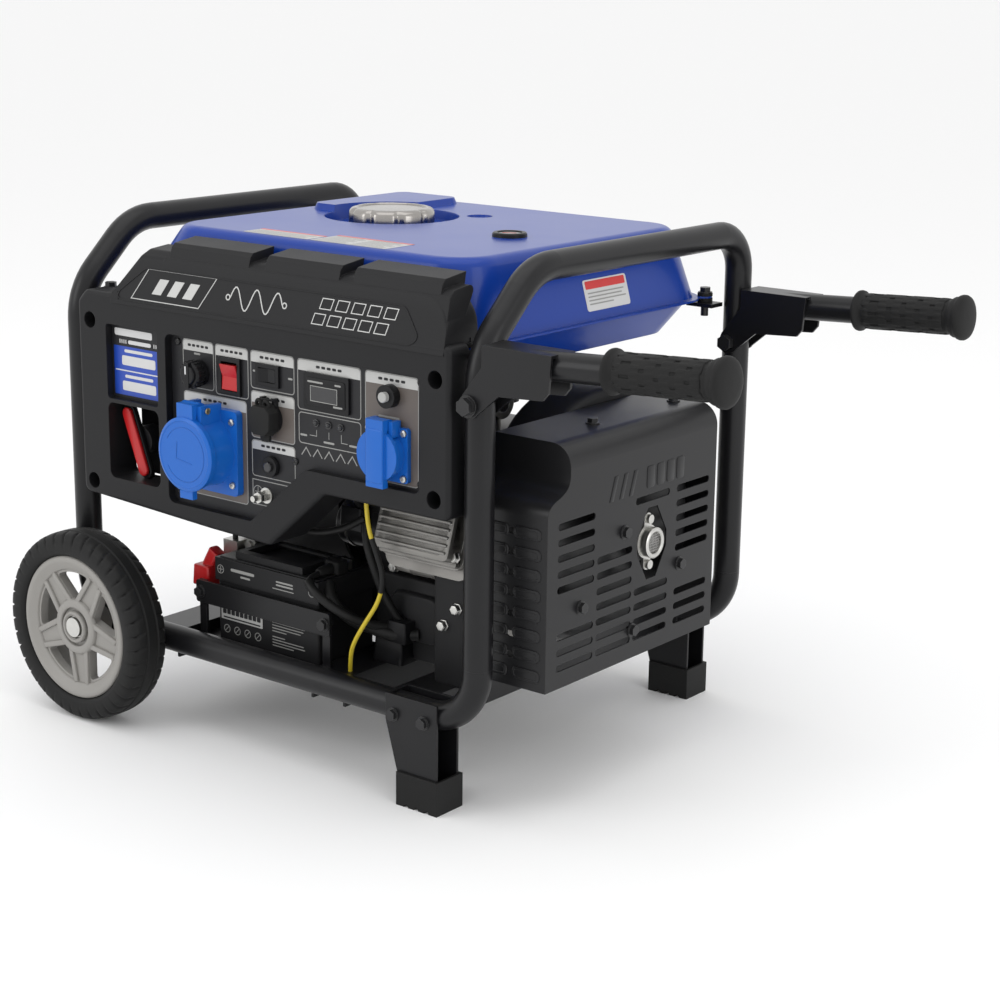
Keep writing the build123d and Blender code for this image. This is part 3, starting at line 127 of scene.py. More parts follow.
# ---- shader node groups ------------------------------------------------------------------------
def group_tree(name, inputs, outputs):
    """An empty shader group with named number inputs and named outputs."""
    tree = bpy.data.node_groups.new(name, "ShaderNodeTree")
    for label, value in inputs:
        kind = "NodeSocketVector" if value is None else "NodeSocketFloat"
        socket = tree.interface.new_socket(label, in_out="INPUT", socket_type=kind)
        if value is not None:
            socket.default_value = value
    for label, kind in outputs:
        tree.interface.new_socket(label, in_out="OUTPUT", socket_type=kind)
    return tree, tree.nodes.new("NodeGroupInput"), tree.nodes.new("NodeGroupOutput")


def node(tree, kind, settings=(), values=(), links=()):
    """A node with its settings, socket values and incoming links."""
    made = tree.nodes.new(kind)
    for key, value in settings:
        setattr(made, key, value)
    for key, value in values:
        made.inputs[key].default_value = value
    for key, source in links:
        tree.links.new(source, made.inputs[key])
    return made


def soft_edge_group():
    """Rounded highlights on hard edges, and a mask of where those edges are."""
    tree, given, out = group_tree("soft edges", [("Radius", 0.0008)],
                                  [("Normal", "NodeSocketVector"), ("Edge", "NodeSocketFloat")])
    bevel = node(tree, "ShaderNodeBevel", [("samples", 4)], [], [("Radius", given.outputs["Radius"])])
    face = node(tree, "ShaderNodeNewGeometry")
    dot = node(tree, "ShaderNodeVectorMath", [("operation", "DOT_PRODUCT")], [],
               [(0, bevel.outputs[0]), (1, face.outputs["Normal"])])
    edge = node(tree, "ShaderNodeMapRange", [], [("From Min", 1.0), ("From Max", 0.82)],
                [("Value", dot.outputs["Value"])])
    tree.links.new(bevel.outputs[0], out.inputs["Normal"])
    tree.links.new(edge.outputs[0], out.inputs["Edge"])
    return tree


def grain_group():
    """Moulded or sprayed grain: a height, and a slow cloudiness for colour and roughness."""
    tree, given, out = group_tree("surface grain", [("Grain", 1500.0), ("Clouds", 14.0)],
                                  [("Height", "NodeSocketFloat"), ("Cloud", "NodeSocketFloat")])
    place = node(tree, "ShaderNodeTexCoord")
    fine = node(tree, "ShaderNodeTexNoise", [], [("Detail", 2.0), ("Roughness", 0.6)],
                [("Vector", place.outputs["Object"]), ("Scale", given.outputs["Grain"])])
    slow = node(tree, "ShaderNodeTexNoise", [], [("Detail", 3.0), ("Roughness", 0.55)],
                [("Vector", place.outputs["Object"]), ("Scale", given.outputs["Clouds"])])
    tree.links.new(fine.outputs[0], out.inputs["Height"])
    tree.links.new(slow.outputs[0], out.inputs["Cloud"])
    return tree


def dust_group():
    """Thin pale dust that settles on faces that look up, broken into patches."""
    tree, given, out = group_tree("settled dust", [("Amount", 0.1), ("Patches", 30.0)],
                                  [("Mask", "NodeSocketFloat")])
    place = node(tree, "ShaderNodeTexCoord")
    face = node(tree, "ShaderNodeNewGeometry")
    split = node(tree, "ShaderNodeSeparateXYZ", [], [], [(0, face.outputs["Normal"])])
    patch = node(tree, "ShaderNodeTexNoise", [], [("Detail", 4.0)],
                 [("Vector", place.outputs["Object"]), ("Scale", given.outputs["Patches"])])
    broken = node(tree, "ShaderNodeMapRange", [], [("From Min", 0.45), ("From Max", 0.75)],
                  [("Value", patch.outputs[0])])
    up = node(tree, "ShaderNodeMapRange", [], [("From Min", 0.3), ("From Max", 1.0)],
              [("Value", split.outputs["Z"])])
    both = node(tree, "ShaderNodeMath", [("operation", "MULTIPLY")], [],
                [(0, broken.outputs[0]), (1, up.outputs[0])])
    mask = node(tree, "ShaderNodeMath", [("operation", "MULTIPLY")], [],
                [(0, both.outputs[0]), (1, given.outputs["Amount"])])
    tree.links.new(mask.outputs[0], out.inputs["Mask"])
    return tree


SOFT_EDGES, GRAIN, DUST = soft_edge_group(), grain_group(), dust_group()


def use_group(tree, group, values):
    """Places a node group with its own values."""
    made = tree.nodes.new("ShaderNodeGroup")
    made.node_tree = group
    for key, value in values:
        made.inputs[key].default_value = value
    return made


def mix_colour(tree, first, second, factor):
    """A blend of two colours, each a tuple or a socket."""
    mix = tree.nodes.new("ShaderNodeMix")
    mix.data_type = "RGBA"
    for socket, value in ((mix.inputs[6], first), (mix.inputs[7], second)):
        if isinstance(value, tuple):
            socket.default_value = (*value, 1)
        else:
            tree.links.new(value, socket)
    if isinstance(factor, float):
        mix.inputs[0].default_value = factor
    else:
        tree.links.new(factor, mix.inputs[0])
    return mix.outputs[2]


def finish_material(name, dark, light, rough, metal, grain, clouds, depth, edge, worn=None, worn_amount=0.0,
                    dust=0.0, shader_values=()):
    """A surface with cloudy colour and roughness, fine grain, softened edges and a little wear."""
    made = bpy.data.materials.new(name)
    made.use_nodes = True
    tree = made.node_tree
    shader = tree.nodes["Principled BSDF"]
    grain_node = use_group(tree, GRAIN, [("Grain", grain), ("Clouds", clouds)])
    edges = use_group(tree, SOFT_EDGES, [("Radius", edge)])
    colour = mix_colour(tree, dark, light, grain_node.outputs["Cloud"])
    if worn:
        amount = node(tree, "ShaderNodeMath", [("operation", "MULTIPLY")], [(1, worn_amount)],
                      [(0, edges.outputs["Edge"])])
        colour = mix_colour(tree, colour, worn, amount.outputs[0])
    if dust:
        settled = use_group(tree, DUST, [("Amount", dust)])
        colour = mix_colour(tree, colour, (0.30, 0.29, 0.27), settled.outputs["Mask"])
    tree.links.new(colour, shader.inputs["Base Color"])
    roughness = node(tree, "ShaderNodeMapRange", [], [("To Min", rough[0]), ("To Max", rough[1])],
                     [("Value", grain_node.outputs["Cloud"])])
    tree.links.new(roughness.outputs[0], shader.inputs["Roughness"])
    bump = node(tree, "ShaderNodeBump", [], [("Strength", 1.0), ("Distance", depth)],
                [("Height", grain_node.outputs["Height"]), ("Normal", edges.outputs["Normal"])])
    tree.links.new(bump.outputs[0], shader.inputs["Normal"])
    shader.inputs["Metallic"].default_value = metal
    for key, value in shader_values:
        shader.inputs[key].default_value = value
    return made


def coat(weight, rough):
    """Shader values for a clear coat over a surface that shines little by itself."""
    return [("Coat Weight", weight), ("Coat Roughness", rough), ("Specular IOR Level", 0.25)]


DULL = [("Specular IOR Level", 0.22)]


# Each finish: dark and light colour, least and most roughness, metal, grain and cloud scale, grain depth
# and edge radius in metres, worn colour and amount, dust, and other shader values.
FINISHES = {
    "black paint": ((0.006, 0.006, 0.007), (0.010, 0.010, 0.011), (0.28, 0.38), 0.0, 900, 9, 0.00003,
                    0.001, (0.04, 0.04, 0.04), 0.35, 0.02, coat(0.10, 0.25)),
    "guard paint": ((0.009, 0.009, 0.010), (0.013, 0.013, 0.014), (0.30, 0.40), 0.0, 1200, 8, 0.00002,
                    0.0008, (0.05, 0.05, 0.05), 0.4, 0.02, coat(0.08, 0.3)),
    "housing plastic": ((0.008, 0.008, 0.009), (0.012, 0.012, 0.013), (0.42, 0.52), 0.0, 2200, 10, 0.00004,
                        0.0012, (0.03, 0.03, 0.03), 0.3, 0.02, DULL),
    "device plastic": ((0.006, 0.006, 0.007), (0.010, 0.010, 0.011), (0.30, 0.42), 0.0, 2600, 20, 0.00002,
                       0.0006, None, 0, 0, DULL),
    "plate print": ((0.016, 0.016, 0.018), (0.022, 0.022, 0.024), (0.35, 0.45), 0.0, 3000, 12, 0.00001,
                    0.0004, None, 0, 0, DULL),
    "tank blue": ((0.002, 0.034, 0.27), (0.003, 0.040, 0.30), (0.26, 0.34), 0.0, 500, 6, 0.00003, 0.002,
                  None, 0, 0.01, coat(0.16, 0.12)),
    "chrome": ((0.30, 0.285, 0.27), (0.40, 0.38, 0.36), (0.16, 0.28), 1.0, 900, 40, 0.00001, 0.0006),
    "cast alloy": ((0.17, 0.165, 0.155), (0.30, 0.29, 0.275), (0.38, 0.55), 0.85, 700, 30, 0.00012, 0.001,
                   (0.7, 0.7, 0.68), 0.6, 0.1),
    "engine black": ((0.010, 0.010, 0.011), (0.016, 0.016, 0.017), (0.42, 0.58), 0.0, 1200, 16, 0.00005,
                     0.001, (0.05, 0.05, 0.05), 0.4, 0.03, DULL),
    "zinc": ((0.50, 0.50, 0.48), (0.66, 0.65, 0.62), (0.25, 0.40), 1.0, 1500, 80, 0.00002, 0.0004),
    "black bolts": ((0.014, 0.014, 0.015), (0.022, 0.022, 0.023), (0.28, 0.42), 0.3, 1500, 40, 0.00002,
                    0.0005, (0.12, 0.12, 0.12), 0.6),
    "machined steel": ((0.30, 0.30, 0.30), (0.42, 0.41, 0.40), (0.25, 0.4), 1.0, 1500, 60, 0.00002, 0.0005),
    "winding": ((0.30, 0.10, 0.03), (0.42, 0.16, 0.05), (0.3, 0.45), 0.6, 900, 60, 0.0001, 0.001),
    "brass": ((0.50, 0.40, 0.22), (0.62, 0.50, 0.28), (0.22, 0.35), 1.0, 1500, 60, 0.00002, 0.0004),
    "rubber": ((0.008, 0.008, 0.008), (0.013, 0.013, 0.013), (0.55, 0.68), 0.0, 1400, 18, 0.00006, 0.0012,
               (0.03, 0.03, 0.03), 0.3, 0.03, DULL),
    "tyre rubber": ((0.007, 0.007, 0.007), (0.012, 0.012, 0.012), (0.50, 0.64), 0.0, 900, 20, 0.00008,
                    0.0012, (0.03, 0.03, 0.03), 0.35, 0.03, DULL),
    "rim plastic": ((0.25, 0.24, 0.225), (0.29, 0.28, 0.262), (0.42, 0.52), 0.0, 1800, 14, 0.00003, 0.0012,
                    None, 0, 0.0),
    "socket blue": ((0.006, 0.105, 0.45), (0.008, 0.12, 0.50), (0.28, 0.38), 0.0, 2000, 20, 0.00002,
                    0.0010, None, 0, 0, coat(0.2, 0.2)),
    "red plastic": ((0.42, 0.008, 0.010), (0.50, 0.012, 0.014), (0.28, 0.36), 0.0, 2000, 20, 0.00002, 0.0008),
    "battery plastic": ((0.010, 0.010, 0.011), (0.016, 0.016, 0.017), (0.35, 0.48), 0.0, 1600, 16, 0.00003,
                        0.0010, (0.05, 0.05, 0.05), 0.3, 0.02, DULL),
    "cable": ((0.008, 0.008, 0.008), (0.014, 0.014, 0.014), (0.40, 0.5), 0.0, 1500, 30, 0.00002, 0.0004,
              None, 0, 0, DULL),
    "earth yellow": ((0.55, 0.42, 0.02), (0.62, 0.48, 0.03), (0.38, 0.48), 0.0, 1500, 30, 0.00002, 0.0004),
    "lamp lens": ((0.02, 0.02, 0.022), (0.03, 0.03, 0.032), (0.12, 0.2), 0.0, 1500, 30, 0.00001, 0.0004),
    "clear cap": ((0.34, 0.34, 0.33), (0.42, 0.42, 0.41), (0.12, 0.2), 0.0, 1500, 30, 0.00001, 0.0006),
    "white print": ((0.55, 0.55, 0.55), (0.62, 0.62, 0.62), (0.4, 0.5), 0.0, 3000, 30, 0.000005, 0.0002),
    "grey print": ((0.26, 0.26, 0.25), (0.30, 0.30, 0.29), (0.4, 0.5), 0.0, 3000, 30, 0.000005, 0.0002),
    "warm grey print": ((0.10, 0.085, 0.075), (0.12, 0.10, 0.09), (0.4, 0.5), 0.0, 3000, 30, 0.000005,
                        0.0002),
    "blue print": ((0.010, 0.05, 0.36), (0.012, 0.06, 0.40), (0.3, 0.4), 0.0, 3000, 30, 0.000005, 0.0002),
    "red print": ((0.55, 0.02, 0.02), (0.60, 0.03, 0.03), (0.3, 0.4), 0.0, 3000, 30, 0.000005, 0.0002),
    "label silver": ((0.45, 0.45, 0.44), (0.52, 0.52, 0.51), (0.3, 0.4), 0.3, 2000, 40, 0.000005, 0.0002),
}
MATERIALS = {name: finish_material(name, *values) for name, values in FINISHES.items()}

NODE_FINISH = {
    "black paint": "frame_rails frame_hoops base_members legs handle_front handle_back battery_clamp",
    "guard paint": "muffler_guard starter_motor",
    "engine black": "fan_shroud air_cleaner",
    "housing plastic": "panel_housing recoil_housing",
    "device plastic": "display_module switch_bodies eco_rocker fuel_knob low_voltage_outlet",
    "plate print": "control_plate",
    "tank blue": "fuel_tank",
    "chrome": "fuel_cap",
    "cast alloy": "crankcase cylinder_head valve_cover carburettor inverter_module",
    "zinc": "earth_terminal axle_bolts panel_screws battery_terminals spark_arrestor",
    "black bolts": "frame_bolts muffler",
    "machined steel": "crankshaft flywheel_rotor",
    "winding": "stator",
    "rubber": "foot_caps grip_front grip_back rubber_mounts outlet_cover spark_plug",
    "tyre rubber": "tyre_front tyre_back",
    "rim plastic": "rim_front rim_back",
    "socket blue": "big_socket big_socket_lid small_socket small_socket_lid",
    "red plastic": "engine_rocker recoil_grip",
    "battery plastic": "battery_case battery_handle",
    "cable": "battery_leads fuel_hose",
    "earth yellow": "earth_wire",
    "lamp lens": "status_lamps reset_button",
    "clear cap": "breaker_button",
}
for finish, names in NODE_FINISH.items():
    for name in names.split():
        node_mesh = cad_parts[name].data
        node_mesh.materials.clear()
        node_mesh.materials.append(MATERIALS[finish])


# ---- mesh helpers: shapes are drawn in millimetres from the middle of the tube frame ------------
FRONT = (Vector((1, 0, 0)), Vector((0, 0, 1)), Vector((0, -1, 0)))      # right, up and outward
BACK = (Vector((-1, 0, 0)), Vector((0, 0, 1)), Vector((0, 1, 0)))
RIGHT_END = (Vector((0, 1, 0)), Vector((0, 0, 1)), Vector((1, 0, 0)))
TOP = (Vector((1, 0, 0)), Vector((0, 1, 0)), Vector((0, 0, 1)))
TO_METRES = Matrix.Translation((SHIFT_X * MM, 0, 0)) @ Matrix.Scale(MM, 4)


def placed(origin, axes):
    """The matrix that puts a drawing with right, up and outward axes at origin."""
    matrix = Matrix(axes).transposed().to_4x4()
    matrix.translation = Vector(origin)
    return matrix


def rounded(width, height, radius, centre=(0, 0), steps=5):
    """A rounded rectangle as a list of points, anticlockwise."""
    points = []
    for corner, (sign_x, sign_y) in enumerate(((1, 1), (-1, 1), (-1, -1), (1, -1))):
        for step in range(steps + 1):
            angle = math.pi / 2 * (corner + step / steps)
            points.append((centre[0] + sign_x * (width / 2 - radius) + radius * math.cos(angle),
                           centre[1] + sign_y * (height / 2 - radius) + radius * math.sin(angle)))
    return points


def disc(radius, centre=(0, 0), steps=32):
    """A circle as a list of points."""
    return [(centre[0] + radius * math.cos(2 * math.pi * i / steps),
             centre[1] + radius * math.sin(2 * math.pi * i / steps)) for i in range(steps)]


def prism(bm, outline, origin, axes, depth, top_scale=1.0):
    """A solid whose outline, drawn at origin, is carried outwards by depth."""
    matrix = placed(origin, axes)
    middle = Vector((sum(p[0] for p in outline) / len(outline), sum(p[1] for p in outline) / len(outline), 0))
    low = [bm.verts.new(matrix @ Vector((u, v, 0))) for u, v in outline]
    high = [bm.verts.new(matrix @ (middle + (Vector((u, v, 0)) - middle) * top_scale + Vector((0, 0, depth))))
            for u, v in outline]
    bm.faces.new(low[::-1])
    bm.faces.new(high)
    for i in range(len(low)):
        j = (i + 1) % len(low)
        bm.faces.new((low[i], low[j], high[j], high[i]))


def box(bm, low, high):
    """A plain block between two corners."""
    outline = [(low[0], low[1]), (high[0], low[1]), (high[0], high[1]), (low[0], high[1])]
    prism(bm, outline, (0, 0, low[2]), TOP, high[2] - low[2])


def lathe(bm, profile, origin, axes, steps=64, shape=None):
    """Turns (radius, height) points round the outward axis; shape may change radius and height by angle."""
    matrix = placed(origin, axes)
    rings = []
    for radius, height in profile:
        if radius < 1e-6:
            rings.append([bm.verts.new(matrix @ Vector((0, 0, height)))])
            continue
        ring = []
        for i in range(steps):
            angle = 2 * math.pi * i / steps
            r, h = shape(radius, height, angle) if shape else (radius, height)
            ring.append(bm.verts.new(matrix @ Vector((r * math.cos(angle), r * math.sin(angle), h))))
        rings.append(ring)
    closed = len(rings[0]) > 1 and len(rings[-1]) > 1
    pairs = list(zip(rings, rings[1:])) + ([(rings[-1], rings[0])] if closed else [])
    for low, high in pairs:
        for i in range(steps if len(low) + len(high) > 2 else 0):
            j = (i + 1) % steps
            corners = [low[i % len(low)], low[j % len(low)], high[j % len(high)], high[i % len(high)]]
            unique = list(dict.fromkeys(corners))
            bm.faces.new(unique)


def sweep(bm, points, radius, steps=14):
    """A round bar along a line of points, closed at both ends; radius is one number or one for each point."""
    points = [Vector(p) for p in points]
    side = Vector((0, 0, 1))
    rings = []
    for i, point in enumerate(points):
        along = (points[min(i + 1, len(points) - 1)] - points[max(i - 1, 0)]).normalized()
        if i == 0 and abs(along.dot(side)) > 0.9:
            side = Vector((1, 0, 0))
        side = (side - along * side.dot(along)).normalized()
        across = along.cross(side)
        r = radius[i] if isinstance(radius, (list, tuple)) else radius
        rings.append([bm.verts.new(point + r * (side * math.cos(a) + across * math.sin(a)))
                      for a in (2 * math.pi * k / steps for k in range(steps))])
    for low, high in zip(rings, rings[1:]):
        for k in range(steps):
            m = (k + 1) % steps
            bm.faces.new((low[k], low[m], high[m], high[k]))
    bm.faces.new(rings[0][::-1])
    bm.faces.new(rings[-1])


def ribbon(bm, line, width, origin, axes, depth, closed=False):
    """A thin printed line that follows a list of points."""
    matrix = placed(origin, axes)
    points = [Vector((u, v)) for u, v in line]
    count = len(points)
    rows = []
    for i, point in enumerate(points):
        before = points[i - 1] if closed or i else point
        after = points[(i + 1) % count] if closed or i < count - 1 else point
        first, second = (point - before), (after - point)
        first = first.normalized() if first.length > 1e-9 else second.normalized()
        second = second.normalized() if second.length > 1e-9 else first
        normal = Vector((-(first.y + second.y), first.x + second.x)).normalized()
        reach = width / 2 / max(0.35, normal.dot(Vector((-first.y, first.x))))
        a, b = point + normal * reach, point - normal * reach
        section = ((a, 0), (b, 0), (b, depth), (a, depth))
        rows.append([bm.verts.new(matrix @ Vector((p.x, p.y, h))) for p, h in section])
    pairs = list(zip(rows, rows[1:])) + ([(rows[-1], rows[0])] if closed else [])
    for low, high in pairs:
        for k in range(4):
            m = (k + 1) % 4
            bm.faces.new((low[k], low[m], high[m], high[k]))
    if not closed:
        bm.faces.new(rows[0][::-1])
        bm.faces.new(rows[-1])


def add_mesh(bm, mesh, matrix):
    """Adds a mesh to the one being made, moved by matrix."""
    copy = mesh.copy()
    copy.transform(matrix)
    bm.from_mesh(copy)
    bpy.data.meshes.remove(copy)


def plain_mesh(bm, name):
    """The shape being made, as a mesh."""
    mesh = bpy.data.meshes.new(name)
    bm.to_mesh(mesh)
    bm.free()
    return mesh


def evaluated_mesh(made):
    """The plain mesh that an object's modifiers give."""
    bpy.context.view_layer.update()
    graph = bpy.context.evaluated_depsgraph_get()
    return bpy.data.meshes.new_from_object(made.evaluated_get(graph))


ROUNDED_FROM = 32                     # degrees between two faces from which an edge is rounded


def piece(name, body, material, bm, bevel=0.0, sharp=35, slot=None, replaces=(), segments=2, cutter=None):
    """Finishes a shape into a piece that rides on a body."""
    bmesh.ops.recalc_face_normals(bm, faces=bm.faces)
    made = new_object(name, plain_mesh(bm, name))
    if cutter:
        bmesh.ops.recalc_face_normals(cutter, faces=cutter.faces)
        cut_object = new_object("cutter", plain_mesh(cutter, "cutter"))
        cut = made.modifiers.new("cut", "BOOLEAN")
        cut.object, cut.solver = cut_object, "EXACT"
        made.data = evaluated_mesh(made)
        made.modifiers.clear()
        bpy.data.objects.remove(cut_object)
    if bevel:
        rounding = made.modifiers.new("rounding", "BEVEL")
        rounding.width, rounding.segments, rounding.limit_method = bevel, segments, "ANGLE"
        rounding.angle_limit = math.radians(ROUNDED_FROM)
        rounding.harden_normals = False
        made.data = evaluated_mesh(made)
        made.modifiers.clear()
    made.data.name = name
    made.data.materials.clear()
    made.data.materials.append(MATERIALS[material])
    made.data.shade_smooth()
    made.data.set_sharp_from_angle(angle=math.radians(sharp))
    made.data.transform(TO_METRES)
    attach(made, body)
    if replaces:
        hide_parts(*replaces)
    return made


def turned(name, body, material, profile, origin, axes, steps, shape=None, **options):
    """A piece turned from one profile."""
    bm = bmesh.new()
    lathe(bm, profile, origin, axes, steps, shape)
    return piece(name, body, material, bm, **options)


def pressed(name, body, material, outline, origin, axes, depth, top_scale=1.0, **options):
    """A piece carried outwards from one outline."""
    bm = bmesh.new()
    prism(bm, outline, origin, axes, depth, top_scale)
    return piece(name, body, material, bm, **options)


# ---- Geometry Nodes for what repeats -----------------------------------------------------------
def repeat_tree(name, numbers):
    """A geometry tree with a template object, a material and named numbers, and its group nodes."""
    tree = bpy.data.node_groups.new(name, "GeometryNodeTree")
    tree.interface.new_socket("Geometry", in_out="INPUT", socket_type="NodeSocketGeometry")
    tree.interface.new_socket("Template", in_out="INPUT", socket_type="NodeSocketObject")
    tree.interface.new_socket("Finish", in_out="INPUT", socket_type="NodeSocketMaterial")
    for label, value in numbers:
        kind = "NodeSocketInt" if isinstance(value, int) else "NodeSocketFloat"
        tree.interface.new_socket(label, in_out="INPUT", socket_type=kind).default_value = value
    tree.interface.new_socket("Geometry", in_out="OUTPUT", socket_type="NodeSocketGeometry")
    return tree, tree.nodes.new("NodeGroupInput"), tree.nodes.new("NodeGroupOutput")


def end_tree(tree, given, out, points, rotation):
    """Sets the template on the points, makes it real and gives it its finish."""
    info = node(tree, "GeometryNodeObjectInfo", [], [], [("Object", given.outputs["Template"])])
    place = node(tree, "GeometryNodeInstanceOnPoints", [], [],
                 [("Points", points), ("Instance", info.outputs["Geometry"]), ("Rotation", rotation)])
    real = node(tree, "GeometryNodeRealizeInstances", [], [], [(0, place.outputs[0])])
    paint = node(tree, "GeometryNodeSetMaterial", [], [],
                 [("Geometry", real.outputs[0]), ("Material", given.outputs["Finish"])])
    tree.links.new(paint.outputs[0], out.inputs[0])
    return tree


def ring_tree():
    """Copies of the template evenly round a circle, each turned to face outwards."""
    tree, given, out = repeat_tree("ring of copies", [("Count", 5), ("Radius", 1.0), ("Start", 0.0)])
    line = node(tree, "GeometryNodeMeshLine", [("mode", "OFFSET")], [("Offset", (0, 0, 0))],
                [("Count", given.outputs["Count"])])
    index = node(tree, "GeometryNodeInputIndex")
    part = node(tree, "ShaderNodeMath", [("operation", "DIVIDE")], [],
                [(0, index.outputs[0]), (1, given.outputs["Count"])])
    angle = node(tree, "ShaderNodeMath", [("operation", "MULTIPLY_ADD")], [(1, 2 * math.pi)],
                 [(0, part.outputs[0]), (2, given.outputs["Start"])])
    cosine = node(tree, "ShaderNodeMath", [("operation", "COSINE")], [], [(0, angle.outputs[0])])
    sine = node(tree, "ShaderNodeMath", [("operation", "SINE")], [], [(0, angle.outputs[0])])
    direction = node(tree, "ShaderNodeCombineXYZ", [], [],
                     [("X", cosine.outputs[0]), ("Y", sine.outputs[0])])
    spot = node(tree, "ShaderNodeVectorMath", [("operation", "SCALE")], [],
                [(0, direction.outputs[0]), ("Scale", given.outputs["Radius"])])
    moved = node(tree, "GeometryNodeSetPosition", [], [],
                 [("Geometry", line.outputs[0]), ("Position", spot.outputs[0])])
    turn = node(tree, "ShaderNodeCombineXYZ", [], [], [("Z", angle.outputs[0])])
    return end_tree(tree, given, out, moved.outputs[0], turn.outputs[0])


def places_tree():
    """Copies of the template on every point of the host mesh, turned by the point's own turn."""
    tree, given, out = repeat_tree("copies at places", [])
    turn = node(tree, "GeometryNodeInputNamedAttribute", [("data_type", "FLOAT_VECTOR")], [("Name", "turn")])
    return end_tree(tree, given, out, given.outputs["Geometry"], turn.outputs[0])


RING, PLACES = ring_tree(), places_tree()


def run_tree(tree, host_mesh, template_bm, values, material):
    """Runs a repeat tree on a host mesh and returns the plain result."""
    bmesh.ops.recalc_face_normals(template_bm, faces=template_bm.faces)
    template = new_object("template", plain_mesh(template_bm, "template"))
    host = new_object("host", host_mesh)
    modifier = host.modifiers.new("repeat", "NODES")
    modifier.node_group = tree
    given = {"Template": template, "Finish": MATERIALS[material], **values}
    for item in tree.interface.items_tree:
        if item.in_out == "INPUT" and item.name in given:
            modifier[item.identifier] = given[item.name]
    result = evaluated_mesh(host)
    host.modifiers.clear()
    bpy.data.objects.remove(host)
    bpy.data.objects.remove(template)
    return result


def ring_of(template_bm, count, material, start=0.0):
    """A ring of copies about the outward axis, each drawn at its own distance from it."""
    host = bpy.data.meshes.new("host")
    host.from_pydata([(0, 0, 0)], [], [])
    return run_tree(RING, host, template_bm, {"Count": count, "Radius": 0.0, "Start": start}, material)


def copies_at(template_bm, places, material):
    """Copies at (point, turn) places; turn is in degrees about x, y and z."""
    host = bpy.data.meshes.new("host")
    host.from_pydata([tuple(p) for p, _ in places], [], [])
    turns = host.attributes.new("turn", "FLOAT_VECTOR", "POINT")
    turns.data.foreach_set("vector", [math.radians(v) for _, turn in places for v in turn])
    return run_tree(PLACES, host, template_bm, {}, material)


def mesh_piece(name, body, material, meshes, **options):
    """A piece joined from finished meshes, each with the matrix that places it."""
    bm = bmesh.new()
    for mesh, matrix in meshes:
        add_mesh(bm, mesh, matrix)
    return piece(name, body, material, bm, **options)


def frame_face(name):
    """The front (lowest y) of a CAD node, in millimetres."""
    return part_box(name)[0].y / MM


def catmull(points, steps):
    """A smooth line through a few points."""
    points = [Vector(p) for p in points]
    ends = [points[0] * 2 - points[1]] + points + [points[-1] * 2 - points[-2]]
    line = []
    for a, b, c, d in zip(ends, ends[1:], ends[2:], ends[3:]):
        for i in range(steps):
            t = i / steps
            line.append(0.5 * (2 * b + (c - a) * t + (2 * a - 5 * b + 4 * c - d) * t * t
                               + (3 * b - a - 3 * c + d) * t ** 3))
    return line + [points[-1]]


def smooth_step(value):
    """Eases a number from 0 to 1."""
    value = min(1.0, max(0.0, value))
    return value * value * (3 - 2 * value)


# ---- wheels ------------------------------------------------------------------------------------
WHEEL_MIDDLE = (-228.0, 257.0, 102.0)
TYRE_HALF = 23.0
LUGS, LUG_GAP, LUG_DEPTH = 40, 0.20, 1.7
TYRE_PROFILE = [(77.2, 18.5), (79.5, 21.6), (83, 22.6), (90, 22.9), (94.5, 22.3), (97.5, 21.0), (99.6, 18.8),
                (100.8, 15.8), (101.4, 12.0), (101.8, 8.6), (100.4, 7.4), (100.4, 6.4), (101.9, 5.2),
                (102, 0)]
WINDOW_TURN = 23.0


def tyre_shape(radius, height, angle):
    """Cuts slanting grooves into the shoulders of the tread."""
    shoulder = smooth_step((abs(height) - 8.2) / 2) * smooth_step((radius - 92.5) / 3)
    phase = (angle / (2 * math.pi) * LUGS + 0.55 * abs(height) / TYRE_HALF) % 1.0
    groove = smooth_step(phase / 0.07) * smooth_step((LUG_GAP - phase) / 0.07) if phase < LUG_GAP else 0.0
    cut = LUG_DEPTH * shoulder * groove
    inward = 1 if height > 0 else -1
    return radius - cut, height - inward * cut * smooth_step((abs(height) - 16) / 4)


